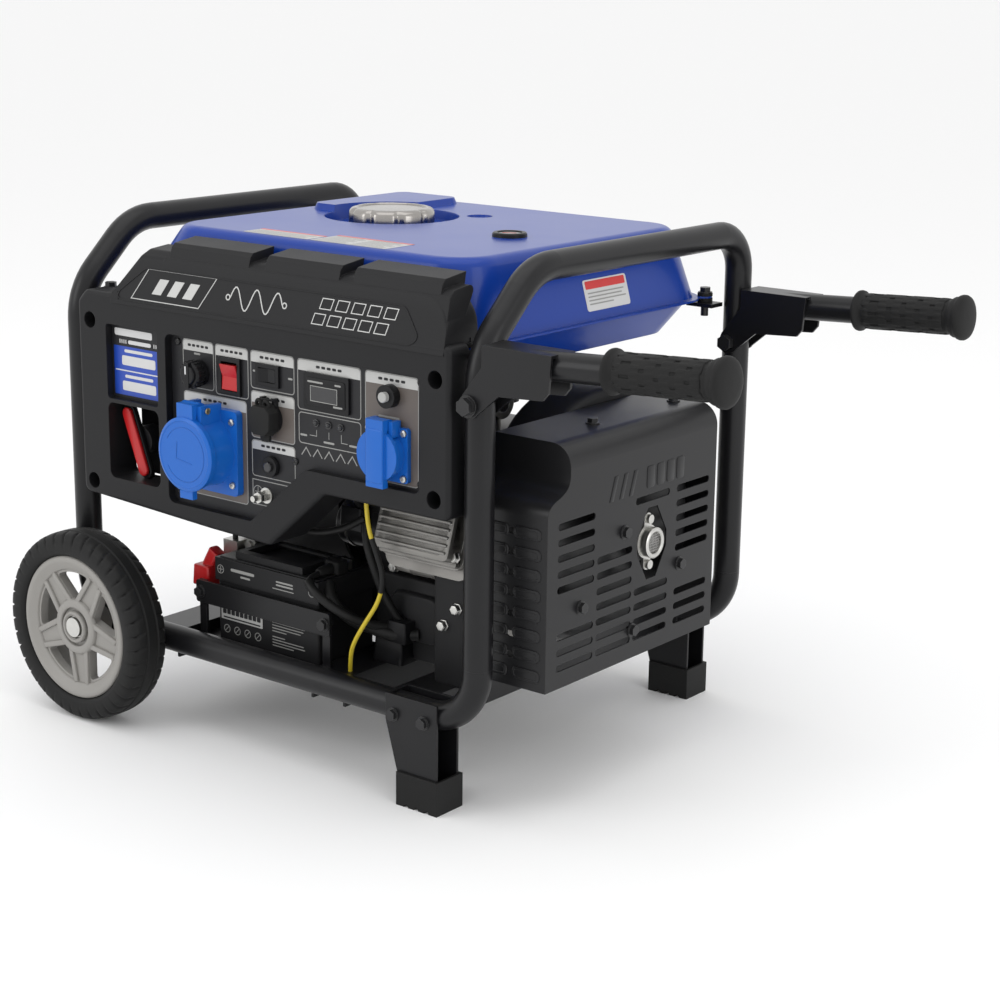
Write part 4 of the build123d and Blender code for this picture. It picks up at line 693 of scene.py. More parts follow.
def make_wheels():
    """Grooved tyres, and ribbed rims with their hub rings."""
    for place, axes, side in (("front", FRONT, -1), ("back", BACK, 1)):
        middle = (WHEEL_MIDDLE[0], side * WHEEL_MIDDLE[1], WHEEL_MIDDLE[2])
        body = "wheel_" + place
        bm = bmesh.new()
        inner = [(77.2, -8), (77.2, 8)]
        profile = TYRE_PROFILE + [(r, -w) for r, w in TYRE_PROFILE[-2::-1]] + inner
        lathe(bm, profile, middle, axes, LUGS * 10, tyre_shape)
        piece("tyre_tread_" + place, body, "tyre rubber", bm, sharp=40, slot="tyre",
              replaces=["tyre_" + place])
        rib = bmesh.new()
        for sign in (1, -1):
            along, across = Vector((0.747, sign * 0.664)), Vector((-0.664, sign * 0.747))
            start, end = Vector((27, 0)) + across * 0.4, Vector((54, sign * 24)) + across * 0.4
            corners = [start + along * 2, end + along * 6, end + along * 4.5 + across * 6,
                       start + across * 6 + along * 5]
            prism(rib, [tuple(c) for c in corners[::sign]], (0, 0, 13.4), TOP, 3.4, 0.93)
        rings = bmesh.new()
        lathe(rings, [(61, 13.4), (62.5, 16), (66.5, 17.6), (70.5, 20.4), (73, 21.0), (75.5, 20.6),
                      (76.9, 19.2), (76.9, 17), (68, 15), (64, 13.2)], (0, 0, 0), TOP, 96)
        lathe(rings, [(20.6, 13.2), (20.8, 17.4), (21.8, 18.4), (27, 18.4), (29.4, 17.2), (31, 13.2)],
              (0, 0, 0), TOP, 72)
        lathe(rings, [(13.2, 15), (13.4, 19.4), (14.4, 20.2), (16.2, 20.0), (17.2, 18.6), (17.2, 15)],
              (0, 0, 0), TOP, 64)
        ring_mesh = plain_mesh(rings, "rings")
        ribs = ring_of(rib, 5, "rim plastic", math.radians(WINDOW_TURN))
        where = placed(middle, axes)
        mesh_piece("rim_ribs_" + place, body, "rim plastic", [(ribs, where), (ring_mesh, where)], bevel=0.7,
                   slot="rim_plastic")


# ---- lifting handle grips ----------------------------------------------------------------------
GRIP_TILT = math.radians(2.9)
GRIP_FROM = (414.0, 214.0, 451.98)
GRIP_PROFILE = [(13.7, 0), (18.8, 0), (20.3, 0.9), (20.6, 2.4), (20.3, 4.2), (18.6, 5.6), (17.5, 7.0),
                (16.9, 10),
                (16.9, 101), (17.6, 103.5), (19.0, 105.0), (20.0, 107), (20.2, 109.5), (20.4, 111),
                (21.8, 112.0),
                (22.3, 113.6), (22.2, 116.2), (21.0, 118.2), (17.5, 119.8), (11, 120.9), (0, 121.4)]


# Each set of pads: its turn as a share of the pitch, then the middle and the length of every row.
PAD_ROWS = ((0.0, ((26, 26), (57, 26), (87, 24))), (0.5, ((14.5, 8), (41.5, 26), (72, 26), (95, 9))))


def make_grips():
    """Rubber grips with staggered pads and a slit domed end."""
    out = Vector((math.cos(GRIP_TILT), 0, math.sin(GRIP_TILT)))
    axes = (Vector((0, 1, 0)), Vector((-math.sin(GRIP_TILT), 0, math.cos(GRIP_TILT))), out)
    for place, side in (("front", -1), ("back", 1)):
        origin = (GRIP_FROM[0], side * GRIP_FROM[1], GRIP_FROM[2])
        where = placed(origin, axes)
        sleeve = bmesh.new()
        lathe(sleeve, GRIP_PROFILE, origin, axes, 72)
        slit = bmesh.new()
        box(slit, (-0.8, -18, 117.0), (0.8, 18, 124))
        lathe(slit, [(0, 116), (2.4, 116), (2.4, 125), (0, 125)], (0, 0, 0), TOP, 16)
        slit.transform(where)
        pads = []
        for start, rows in PAD_ROWS:
            for middle, length in rows:
                pad = bmesh.new()
                radial = (Vector((0, 1, 0)), Vector((0, 0, 1)), Vector((1, 0, 0)))
                prism(pad, rounded(9.9, length + 1.5, 2.8), (16.2, 0, middle), radial, 1.5, 0.9)
                pads.append((ring_of(pad, 9, "rubber", 2 * math.pi / 9 * start), where))
        piece("grip_sleeve_" + place, "handle_" + place, "rubber", sleeve, slot="grip_rubber", sharp=50,
              replaces=["grip_" + place], cutter=slit)
        mesh_piece("grip_pads_" + place, "handle_" + place, "rubber", pads, bevel=0.5, slot="grip_rubber")


# ---- fuel tank top -----------------------------------------------------------------------------
CAP = (-50.0, 30.0)
CAP_PROFILE = [(0, 512), (42, 512.5), (44.5, 514.5), (46, 516.5), (46, 527), (45.2, 530), (43, 532.4),
               (39.5, 533.6), (37, 533.4), (36, 532.3), (34.5, 532.0), (14, 532.7), (0, 532.9)]
GAUGE = (145.0, -15.0)
TANK_TOP = 524.0
WALL_AXES = (Vector((0, 1, 0)), Vector((-0.278, 0, 0.9605)), Vector((0.9605, 0, 0.278)))


def cap_shape(radius, height, angle):
    """Nine finger hollows round the rim of the cap."""
    hollow = max(0.0, math.cos(9 * angle)) ** 3
    return radius - 3.0 * hollow * smooth_step((radius - 36) / 8), height


def make_tank_top():
    """The chrome cap, the fuel gauge, and plain labels."""
    turned("cap_shell", "fuel_cap", "chrome", CAP_PROFILE, (*CAP, 0), TOP, 144, cap_shape, sharp=32,
           slot="chrome", replaces=["fuel_cap"])
    rim = [(12.4, 523.0), (12.4, 527.6), (13, 528.4), (16.2, 528.4), (17.4, 527.2), (17.8, 523.0)]
    turned("gauge_ring", "frame", "device plastic", rim, (*GAUGE, 0), TOP, 48, slot="device_plastic")
    dial = [(0, 524.0), (12.3, 524.0), (12.3, 527.0), (0, 527.4)]
    turned("gauge_face", "frame", "grey print", dial, (*GAUGE, 0), TOP, 48, slot="lamp")
    bm = bmesh.new()
    ribbon(bm, [(GAUGE[0] - 7, GAUGE[1] - 3), (GAUGE[0] + 5, GAUGE[1] + 4)], 1.2, (0, 0, 527.3), TOP, 0.3)
    piece("gauge_needle", "frame", "red print", bm, slot="red_plastic")
    label, stripe, bars = bmesh.new(), bmesh.new(), bmesh.new()
    prism(label, rounded(88, 30, 2, (-28, -155)), (0, 0, TANK_TOP), TOP, 0.25)
    prism(label, rounded(98, 44, 2, (68, -148)), (0, 0, TANK_TOP), TOP, 0.25)
    box(stripe, (-72, -145, TANK_TOP + 0.2), (16, -141, TANK_TOP + 0.35))
    box(stripe, (19, -131, TANK_TOP + 0.2), (117, -127, TANK_TOP + 0.35))
    for low_x, high_x, low_y, high_y, step in ((-70, 12, -168, -148, 4.2), (22, 66, -168, -134, 4.2),
                                               (70, 114, -168, -134, 4.2)):
        y, row = low_y, 0
        while y < high_y:
            end = high_x - (9 if row % 3 == 2 else 2)
            box(bars, (low_x, y, TANK_TOP + 0.2), (end, y + 1.5, TANK_TOP + 0.32))
            y, row = y + step, row + 1
    piece("tank_label", "frame", "label silver", label)
    piece("tank_label_stripe", "frame", "red print", stripe)
    piece("tank_label_bars", "frame", "grey print", bars)
    origin = (241.1, 0, 458)
    label, band, bars = bmesh.new(), bmesh.new(), bmesh.new()
    prism(label, rounded(72, 31, 3, (24, 16)), origin, WALL_AXES, 0.4)
    prism(band, rounded(66, 8, 1.5, (24, 26)), origin, WALL_AXES, 0.5)
    for row, width in enumerate((60, 56, 62, 40)):
        prism(bars, rounded(width, 1.4, 0.6, (24 - (62 - width) / 2, 18 - row * 3.6), 2), origin, WALL_AXES,
              0.5)
    piece("side_label", "frame", "white print", label)
    piece("side_label_band", "frame", "red print", band)
    piece("side_label_bars", "frame", "grey print", bars)


# ---- front of the control plate ----------------------------------------------------------------
PLATE_FRONT = -227.0
PRINT = 0.14
CELLS = [((-102, -59), (372, 420), 11, None), ((-56, -11), (370, 420), 11, None),
         ((-7, 51), (383, 420), 11, None),
         ((56, 137), (371, 420), 11, None), ((57, 137), (338, 368), 0, None),
         ((143, 208), (317, 420), 11, "warm"),
         ((-102, -14), (263, 367), 11, "warm"), ((-7, 51), (334, 380), 11, "warm"),
         ((-7, 51), (295, 331), 9, None)]


def make_plate_print():
    """Cell outlines, pale header strips and plain bars where such a panel has its captions."""
    lines, heads, warm, marks = bmesh.new(), bmesh.new(), bmesh.new(), bmesh.new()
    origin = (0, PLATE_FRONT, 0)
    for (low_x, high_x), (low_z, high_z), header, ground in CELLS:
        centre = ((low_x + high_x) / 2, (low_z + high_z) / 2)
        width, height = high_x - low_x, high_z - low_z
        if ground:
            prism(warm, rounded(width - 1, height - 1, 3, centre), origin, FRONT, PRINT * 0.6)
        ribbon(lines, rounded(width, height, 3.4, centre, 4), 0.9, origin, FRONT, PRINT, closed=True)
        if header:
            strip = [(low_x + 0.6, high_z - header), (high_x - 0.6, high_z - header)]
            strip += rounded(width - 1.2, 8, 3.2, (centre[0], high_z - 4.6), 4)[:10]
            prism(heads, strip, origin, FRONT, PRINT * 1.4)
            step = min(7.0, width / 7)
            for k in range(-2, 3):
                bar = rounded(step * 0.72, 2.6, 1.0, (centre[0] + k * step, high_z - header / 2), 2)
                prism(marks, bar, origin, FRONT, PRINT * 2.2)
    corners = [(-7, 291), (50, 291), (50, 285), (30, 266), (-7, 266)]
    ribbon(lines, corners, 0.9, origin, FRONT, PRINT, closed=True)
    piece("cell_lines", "frame", "grey print", lines)
    piece("cell_headers", "frame", "label silver", heads)
    piece("cell_grounds", "frame", "warm grey print", warm)
    piece("header_bars", "frame", "plate print", marks)
    signs = bmesh.new()
    ribbon(signs, disc(6.0, (0, 279), 20), 0.7, origin, FRONT, PRINT, closed=True)
    for line in ([(0, 284), (0, 279)], [(-4, 279), (4, 279)], [(-2.6, 277), (2.6, 277)],
                 [(-1.2, 275), (1.2, 275)],
                 [(80, 353), (80, 347), (71, 347)], [(96, 353), (96, 346)],
                 [(112, 353), (112, 345), (120, 345)]):
        ribbon(signs, line, 0.7, origin, FRONT, PRINT)
    for x, z, width in ((63, 346, 9), (96, 342.6, 14), (128, 344, 12), (-82, 406.5, 9), (-50, 404, 5),
                        (46, 398, 6), (-2, 400, 5), (172, 379, 26)):
        prism(signs, rounded(width, 2.0, 0.9, (x, z), 2), origin, FRONT, PRINT)
    for k in range(5):
        ribbon(signs, [(60 + k * 15, 326), (66 + k * 15, 334), (72 + k * 15, 326)], 1.1, origin, FRONT, PRINT)
    piece("panel_signs", "frame", "grey print", signs)


# ---- rating label at the left ------------------------------------------------------------------
def make_left_label():
    """The rating label beside the panel, with plain bars."""
    face = (0, PLATE_FRONT, 0)
    ground, blue, bars = bmesh.new(), bmesh.new(), bmesh.new()
    prism(ground, rounded(74, 76, 2, (-169, 385)), face, FRONT, 0.2)
    prism(blue, rounded(72, 51, 1, (-169, 375.5)), face, FRONT, 0.35)
    for x, z, width, height in ((-175, 415.5, 56, 7.5), (-166, 406, 34, 4), (-168, 396.5, 42, 3.2),
                                (-168, 386.5, 50, 10),
                                (-169, 375.8, 68, 1.3), (-168, 370, 42, 3.2), (-168, 360, 50, 10)):
        prism(bars, rounded(width, height, min(height / 2.2, 2.0), (x, z), 3), face, FRONT, 0.5)
    for k in range(4):
        for x in (-196 + k * 3, -145 + k * 3):
            box(bars, (x, PLATE_FRONT - 0.5, 404), (x + 1.2, PLATE_FRONT, 408))
    piece("rating_ground", "frame", "plate print", ground)
    piece("rating_blue", "frame", "blue print", blue)
    piece("rating_bars", "frame", "white print", bars)


make_wheels()
make_grips()
make_tank_top()
make_plate_print()
make_left_label()

# ---- visor over the control panel --------------------------------------------------------------
VISOR_X = (-198.0, 245.0)
VISOR_BLOCKS = ((-121.0, -9.0), (11.0, 109.0), (125.0, 214.0))
LEDGE_Z, STEP_Z, BLOCK_Z = 498.0, 503.5, 512.5
VISOR_LOW_Z, VISOR_LOW_Y, VISOR_SLOPE = 446.5, -236.9, 0.2
VISOR_PLANE = (Vector((1, 0, 0)), Vector((0, 0.196, 0.981)), Vector((0, -0.981, 0.196)))


def visor_height(x):
    """Height of the visor's front edge: ledges, raised blocks with a step at the right, falling ends."""
    height = LEDGE_Z
    for low, high in VISOR_BLOCKS:
        raised = smooth_step((x - low + 7) / 7) * smooth_step((high - x + 7) / 7)
        stepped = smooth_step((x - high + 2) / 4) * smooth_step((high + 17 - x) / 5)
        height = max(height, LEDGE_Z + (BLOCK_Z - LEDGE_Z) * raised, LEDGE_Z + (STEP_Z - LEDGE_Z) * stepped)
    left = 457 + (x - VISOR_X[0]) * 56 / 51
    right = 470 + math.sqrt(max(0.0, 30 ** 2 - max(0.0, x - (VISOR_X[1] - 30)) ** 2))
    return min(height, left, right)


def make_visor():
    """One moulded skin with raised blocks, on a grid that follows the blocks' edges."""
    bm = bmesh.new()
    columns = 420
    rows = []
    for i in range(columns + 1):
        x = VISOR_X[0] + (VISOR_X[1] - VISOR_X[0]) * i / columns
        top = visor_height(x)
        lift = top - VISOR_LOW_Z
        front = VISOR_LOW_Y + VISOR_SLOPE * lift
        raised = smooth_step((top - LEDGE_Z) / (BLOCK_Z - LEDGE_Z))
        back_z = top + 1 + 4 * raised
        section = [(VISOR_LOW_Y, VISOR_LOW_Z)]
        section += [(VISOR_LOW_Y + VISOR_SLOPE * lift * t, VISOR_LOW_Z + lift * t)
                    for t in (0.15, 0.4, 0.7, 0.88)]
        section += [(front + 0.1, top - 2.6), (front + 1.0, top - 1.0), (front + 3.0, top),
                    (front + 8, top + 0.8)]
        section += [(-206, (top + back_z) / 2 + 1), (-193, back_z), (-189.5, back_z - 0.8),
                    (-188, back_z - 3)]
        section += [(-188, (back_z + VISOR_LOW_Z) / 2), (-188, VISOR_LOW_Z)]
        rows.append([bm.verts.new((x, y, max(z, VISOR_LOW_Z))) for y, z in section])
    for low, high in zip(rows, rows[1:]):
        for k in range(len(low)):
            m = (k + 1) % len(low)
            bm.faces.new((low[k], low[m], high[m], high[k]))
    bm.faces.new(rows[0])
    bm.faces.new(rows[-1][::-1])
    bmesh.ops.remove_doubles(bm, verts=bm.verts, dist=0.0005)
    piece("visor_skin", "frame", "housing plastic", bm, sharp=38, slot="housing_plastic")
    bm = bmesh.new()
    origin = (0, VISOR_LOW_Y, VISOR_LOW_Z)
    border = [(-186, 5), (205, 5), (214, 13), (194, 40), (-150, 40), (-188, 12)]
    soft = []
    for i, corner in enumerate(border):
        before, after = Vector(border[i - 1]), Vector(border[(i + 1) % len(border)])
        corner = Vector(corner)
        first = corner + (before - corner).normalized() * 6
        last = corner + (after - corner).normalized() * 6
        soft += [first.lerp(corner, t).lerp(corner.lerp(last, t), t) for t in (0, 0.25, 0.5, 0.75, 1)]
    ribbon(bm, [tuple(p) for p in soft], 1.4, origin, VISOR_PLANE, 0.5, closed=True)
    piece("visor_border", "frame", "housing plastic", bm, bevel=0.3, slot="housing_plastic")
    bm = bmesh.new()
    ribbon(bm, [(-167, 8), (-70, 8), (-49, 39.5), (-146, 39.5)], 0.9, origin, VISOR_PLANE, 0.35, closed=True)
    for k in range(3):
        x = -138 + k * 22
        prism(bm, [(x, 15), (x + 13, 15), (x + 23, 31), (x + 10, 31)], origin, VISOR_PLANE, 0.35)
    wave = [(-28 + 2 * i, 23.5 + 11 * math.sin(i * 2 * math.pi / 14)) for i in range(36)]
    ribbon(bm, wave, 1.3, origin, VISOR_PLANE, 0.35)
    for x in (-31, 45):
        ribbon(bm, disc(2.6, (x, 23.5), 16), 1.2, origin, VISOR_PLANE, 0.35, closed=True)
    for z, x, width in ((31, 90, 100), (16, 82, 98)):
        for k in range(5):
            left = x + k * width / 5
            shape = [(left, z - 5), (left + 14, z - 5), (left + 17, z + 5), (left + 3, z + 5)]
            ribbon(bm, shape, 0.9, origin, VISOR_PLANE, 0.35, closed=True)
    piece("visor_motif", "frame", "label silver", bm)


# ---- screws, knob and display, sockets, outlet cover, starter grip -----------------------------
def cross_screw():
    """A pan head with a cross recess, standing on z 0."""
    bm = bmesh.new()
    profile = [(0, 0), (3.6, 0), (3.7, 0.7), (3.3, 1.7), (2.2, 2.3), (1.5, 2.4)]
    lathe(bm, profile + [(1.4, 1.2), (0, 1.0)], (0, 0, 0), TOP, 16)
    for turn in (0, 1):
        size = (2.5, 0.4) if turn else (0.4, 2.5)
        box(bm, (-size[0], -size[1], 1.1), (size[0], size[1], 2.35))
    return bm


FACING_FRONT = (90, 0, 0)
PLATE_SCREWS = ((-109, 416), (-110, 262), (52, 318), (211, 417), (211, 321))
SMALL_SOCKET, BIG_SOCKET = (173, 346), (-60, 314)


def make_screws():
    """Black screws of the plate and zinc screws of the sockets."""
    plate = [((x, PLATE_FRONT, z), FACING_FRONT) for x, z in PLATE_SCREWS]
    mesh_piece("plate_screws", "frame", "black bolts", [(copies_at(cross_screw(), plate, "black bolts"),
                                                         Matrix())],
               slot="zinc_steel", replaces=["panel_screws"])
    zinc = []
    for (x, z), y, across, up in ((SMALL_SOCKET, -232.2, 21.5, 21.5), (BIG_SOCKET, -235.2, 33, 32)):
        zinc += [((x + a, y, z + b), FACING_FRONT) for a in (-across, across) for b in (-up, up)]
    mesh_piece("socket_screws", "frame", "zinc", [(copies_at(cross_screw(), zinc, "zinc"), Matrix())],
               slot="zinc_steel")


def make_knob_and_switches():
    """Ribbed knob with its pointer, the display's bezel, window and marks, and the collar round the reset
    button.
    """
    x, z = -78, 388
    front = frame_face("fuel_knob")
    rib = bmesh.new()
    box(rib, (12.6, -1.1, 0), (14.2, 1.1, 9))
    ribs = ring_of(rib, 18, "device plastic")
    ring = bmesh.new()
    profile = [(12.9, 0), (13.4, 0.6), (13.4, 8.2), (12.0, 9.6), (9.5, 9.8), (0, 9.8), (0, 0)]
    lathe(ring, profile, (0, 0, 0), TOP, 48)
    where = placed((x, PLATE_FRONT - 6.5, z), FRONT)
    mesh_piece("knob_skirt", "fuel_knob", "device plastic",
               [(ribs, where), (plain_mesh(ring, "ring"), where)],
               bevel=0.4, slot="device_plastic")
    bm = bmesh.new()
    ribbon(bm, [(x - 1, z + 1), (x - 1, z + 9)], 1.8, (0, front - 0.02, 0), FRONT, 0.3)
    piece("knob_pointer", "fuel_knob", "white print", bm)
    y = frame_face("display_module")
    pressed("display_bezel", "frame", "device plastic", rounded(50, 27, 3, (95, 391)), (0, y - 0.02, 0),
            FRONT, 0.6, bevel=0.3, slot="device_plastic")
    pressed("display_window", "frame", "lamp lens", rounded(33, 14, 1, (93, 389)), (0, y - 0.55, 0), FRONT,
            0.3, slot="lamp")
    bm = bmesh.new()
    origin = (0, y - 0.6, 0)
    ribbon(bm, [(76, 382), (110, 382), (110, 396.5), (76, 396.5)], 0.7, origin, FRONT, 0.35, closed=True)
    for px, pz, width in ((82, 400.5, 20), (111, 400.5, 8), (111, 379.5, 12)):
        prism(bm, rounded(width, 1.8, 0.8, (px, pz), 2), origin, FRONT, 0.2)
    piece("display_marks", "frame", "grey print", bm)
    collar = [(10.4, 0), (10.4, 3.4), (9.6, 4.6), (7.8, 5.0), (6.4, 4.4), (5.4, 5.2), (5.3, 0)]
    turned("reset_collar", "frame", "device plastic", collar, (20, PLATE_FRONT, 308), FRONT, 40,
           slot="device_plastic")


def make_socket_detail():
    """Lines and rim of the big lid, the end of its hinge pin, and the raised band of the small lid."""
    y = frame_face("big_socket_lid")
    bm = bmesh.new()
    arc = [(BIG_SOCKET[0] + 27.5 * math.cos(a), BIG_SOCKET[1] + 27.5 * math.sin(a))
           for a in (math.radians(-150 + 300 * i / 48) for i in range(49))]
    ribbon(bm, arc, 0.9, (0, y - 0.5, 0), FRONT, 0.35)
    ribbon(bm, [(-70, 326), (-71.5, 309), (-50, 306)], 0.9, (0, y - 0.5, 0), FRONT, 0.35)
    piece("big_lid_lines", "big_socket_lid", "socket blue", bm, slot="socket_blue")
    rim = [(36.8, 0), (37.6, 1.0), (37.6, 4.2), (36.2, 5.4), (34.0, 5.9), (33.2, 5.2), (0, 5.2), (0, 0)]
    turned("big_lid_rim", "big_socket_lid", "socket blue", rim, (BIG_SOCKET[0], y + 4.6, BIG_SOCKET[1]),
           FRONT, 96, slot="socket_blue")
    turned("hinge_pin_end", "frame", "brass", [(0, 0), (3.0, 0), (3.4, 0.8), (2.0, 1.4), (0, 1.5)],
           (-38.6, -256, 359), RIGHT_END, 20, slot="zinc_steel")
    pressed("small_lid_band", "small_socket_lid", "socket blue", rounded(20.5, 52, 3, SMALL_SOCKET),
            (0, frame_face("small_socket_lid") + 0.6, 0), FRONT, 1.4, 0.96, bevel=0.5, slot="socket_blue")


def make_outlet_cover():
    """Soft black cover with eight sides, two strap loops above and a pull tab below."""
    x, z = 20, 356
    bm = bmesh.new()
    outline = [(x - 8, z - 15.6), (x + 8, z - 15.6), (x + 15, z - 9), (x + 15.6, z + 9), (x + 9, z + 15.6),
               (x - 9, z + 15.6), (x - 15.6, z + 9), (x - 15, z - 9)]
    prism(bm, outline, (0, -233.2, 0), FRONT, 12.2, 0.9)
    prism(bm, rounded(12, 10, 3, (x, z - 17)), (0, -233.2, 0), FRONT, 4)
    for side in (-1, 1):
        points = [(x + side * 5 + 3.4 * math.cos(a), -238.5 - 1.0 * math.sin(a), z + 14.5 + 5.2 * math.sin(a))
                  for a in (math.pi * i / 10 for i in range(11))]
        sweep(bm, points, 1.9, 10)
    piece("outlet_cap", "outlet_cover", "rubber", bm, bevel=1.0, slot="cover_rubber",
          replaces=["outlet_cover"], segments=3)


def make_starter_grip():
    """The red bar of the recoil grip with its black edge, and the dark back of its window."""
    pressed("starter_window_back", "frame", "device plastic", rounded(81, 85, 8, (-169, 302)), (0, -187, 0),
            FRONT, 1.5, slot="housing_plastic")
    low, high = Vector((-197, 332)), Vector((-172, 268))
    along = (high - low).normalized()
    across = Vector((-along.y, along.x))
    red, dark = bmesh.new(), bmesh.new()
    for bm, half, reach, start, depth in ((red, 6.6, 30.5, -217.6, 4.6), (dark, 8.2, 32.5, -211.8, 6.2)):
        middle = (low + high) / 2
        outline = []
        for sign in (1, -1):
            for i in range(11):
                a = math.pi * i / 10 - sign * math.pi / 2
                lengthwise = sign * reach + half * math.cos(a)
                outline.append(middle + along * lengthwise + across * half * math.sin(a))
        prism(bm, [tuple(p) for p in outline], (0, start, 0), FRONT, depth)
    piece("starter_grip_bar", "recoil_grip", "red plastic", red, bevel=1.6, slot="red_plastic", segments=3)
    piece("starter_grip_edge", "recoil_grip", "device plastic", dark, bevel=1.2, slot="red_plastic",
          replaces=["recoil_grip"], segments=3)


# ---- battery -----------------------------------------------------------------------------------
def make_battery_detail():
    """Terminal boots, print on lid and case, the case label and the plate on the lid."""
    lid_y, case_y = -188.0, -186.0
    red = bmesh.new()
    prism(red, rounded(25, 21, 3, (-131, -174)), (0, 0, 146), TOP, 22, 0.9)
    lean = Matrix.Translation((-126, -170, 172)) @ Matrix.Rotation(math.radians(28), 4, "Y")
    upper = bmesh.new()
    prism(upper, rounded(16, 15, 4), (0, 0, -8), TOP, 22, 0.9)
    add_mesh(red, plain_mesh(upper, "boot"), lean)
    piece("positive_boot", "frame", "red plastic", red, bevel=1.4, slot="red_plastic", segments=3)
    dark = bmesh.new()
    prism(dark, rounded(20, 20, 4, (31, -148)), (0, 0, 183.6), TOP, 14, 0.85)
    sweep(dark, [(31, -156, 189.5), (31, -168, 189.5), (31, -176, 189.5)], [6.5, 5.6, 4.2])
    piece("negative_boot", "frame", "rubber", dark, bevel=1.2, slot="battery_plastic", segments=3)
    marks, silver, lines = bmesh.new(), bmesh.new(), bmesh.new()
    for x, upright in ((-96, True), (34, False)):
        ribbon(marks, disc(4.4, (x, 172), 20), 0.7, (0, lid_y, 0), FRONT, 0.15, closed=True)
        ribbon(marks, [(x - 3, 172), (x + 3, 172)], 0.8, (0, lid_y, 0), FRONT, 0.15)
        if upright:
            ribbon(marks, [(x, 169), (x, 175)], 0.8, (0, lid_y, 0), FRONT, 0.15)
    for x, z, width, height in ((-64, 174, 34, 3.2), (-60, 168.6, 14, 2.2), (-4, 174, 24, 1.8),
                                (-4, 170.6, 24, 1.8), (-6, 166.4, 30, 1.0)):
        prism(marks, rounded(width, height, height / 2.3, (x, z), 2), (0, lid_y, 0), FRONT, 0.15)
    prism(silver, rounded(60, 12, 1, (-68, 124)), (0, case_y, 0), FRONT, 0.2)
    for k in range(9):
        prism(lines, rounded(5.2, 5, 0.8, (-93 + k * 6.2, 126.5), 2), (0, case_y - 0.1, 0), FRONT, 0.2)
    prism(lines, rounded(54, 1.6, 0.6, (-68, 120.4), 2), (0, case_y - 0.1, 0), FRONT, 0.2)
    for k in range(4):
        x = -90 + k * 15
        ribbon(marks, disc(4.2, (x, 108), 14), 0.8, (0, case_y, 0), FRONT, 0.15, closed=True)
        ribbon(marks, [(x - 3, 105), (x + 3, 111)], 0.8, (0, case_y, 0), FRONT, 0.15)
    for row in range(11):
        width = (46, 44, 40, 20, 0, 18, 44, 46, 30, 0, 0)[row]
        if width:
            prism(marks, rounded(width, 1.0, 0.4, (-24 + width / 2, 129 - row * 3.1), 2), (0, case_y, 0),
                  FRONT, 0.15)
    prism(marks, rounded(16, 1.2, 0.5, (30, 94), 2), (0, case_y, 0), FRONT, 0.15)
    piece("battery_marks", "frame", "grey print", marks)
    piece("battery_label", "frame", "label silver", silver)
    piece("battery_label_lines", "frame", "plate print", lines)
    pressed("battery_lid_plate", "frame", "battery plastic", rounded(141, 83, 3, (-30.5, -144.5)),
            (0, 0, 183.9), TOP, 1.6, 0.985, bevel=0.6, slot="battery_plastic")


# ---- engine ------------------------------------------------------------------------------------
LOOM_ROUTES = (
    (6.2, [(40, -170, 180), (52, -176, 164), (66, -168, 148), (86, -156, 138), (108, -146, 133),
           (128, -132, 134)]),
    (4.2, [(62, -150, 268), (76, -154, 250), (84, -160, 226), (92, -158, 200), (96, -150, 176),
           (104, -140, 152), (112, -134, 140)]),
    (3.6, [(-40, -160, 262), (-10, -172, 240), (24, -176, 232), (60, -172, 240), (80, -160, 252)]),
)


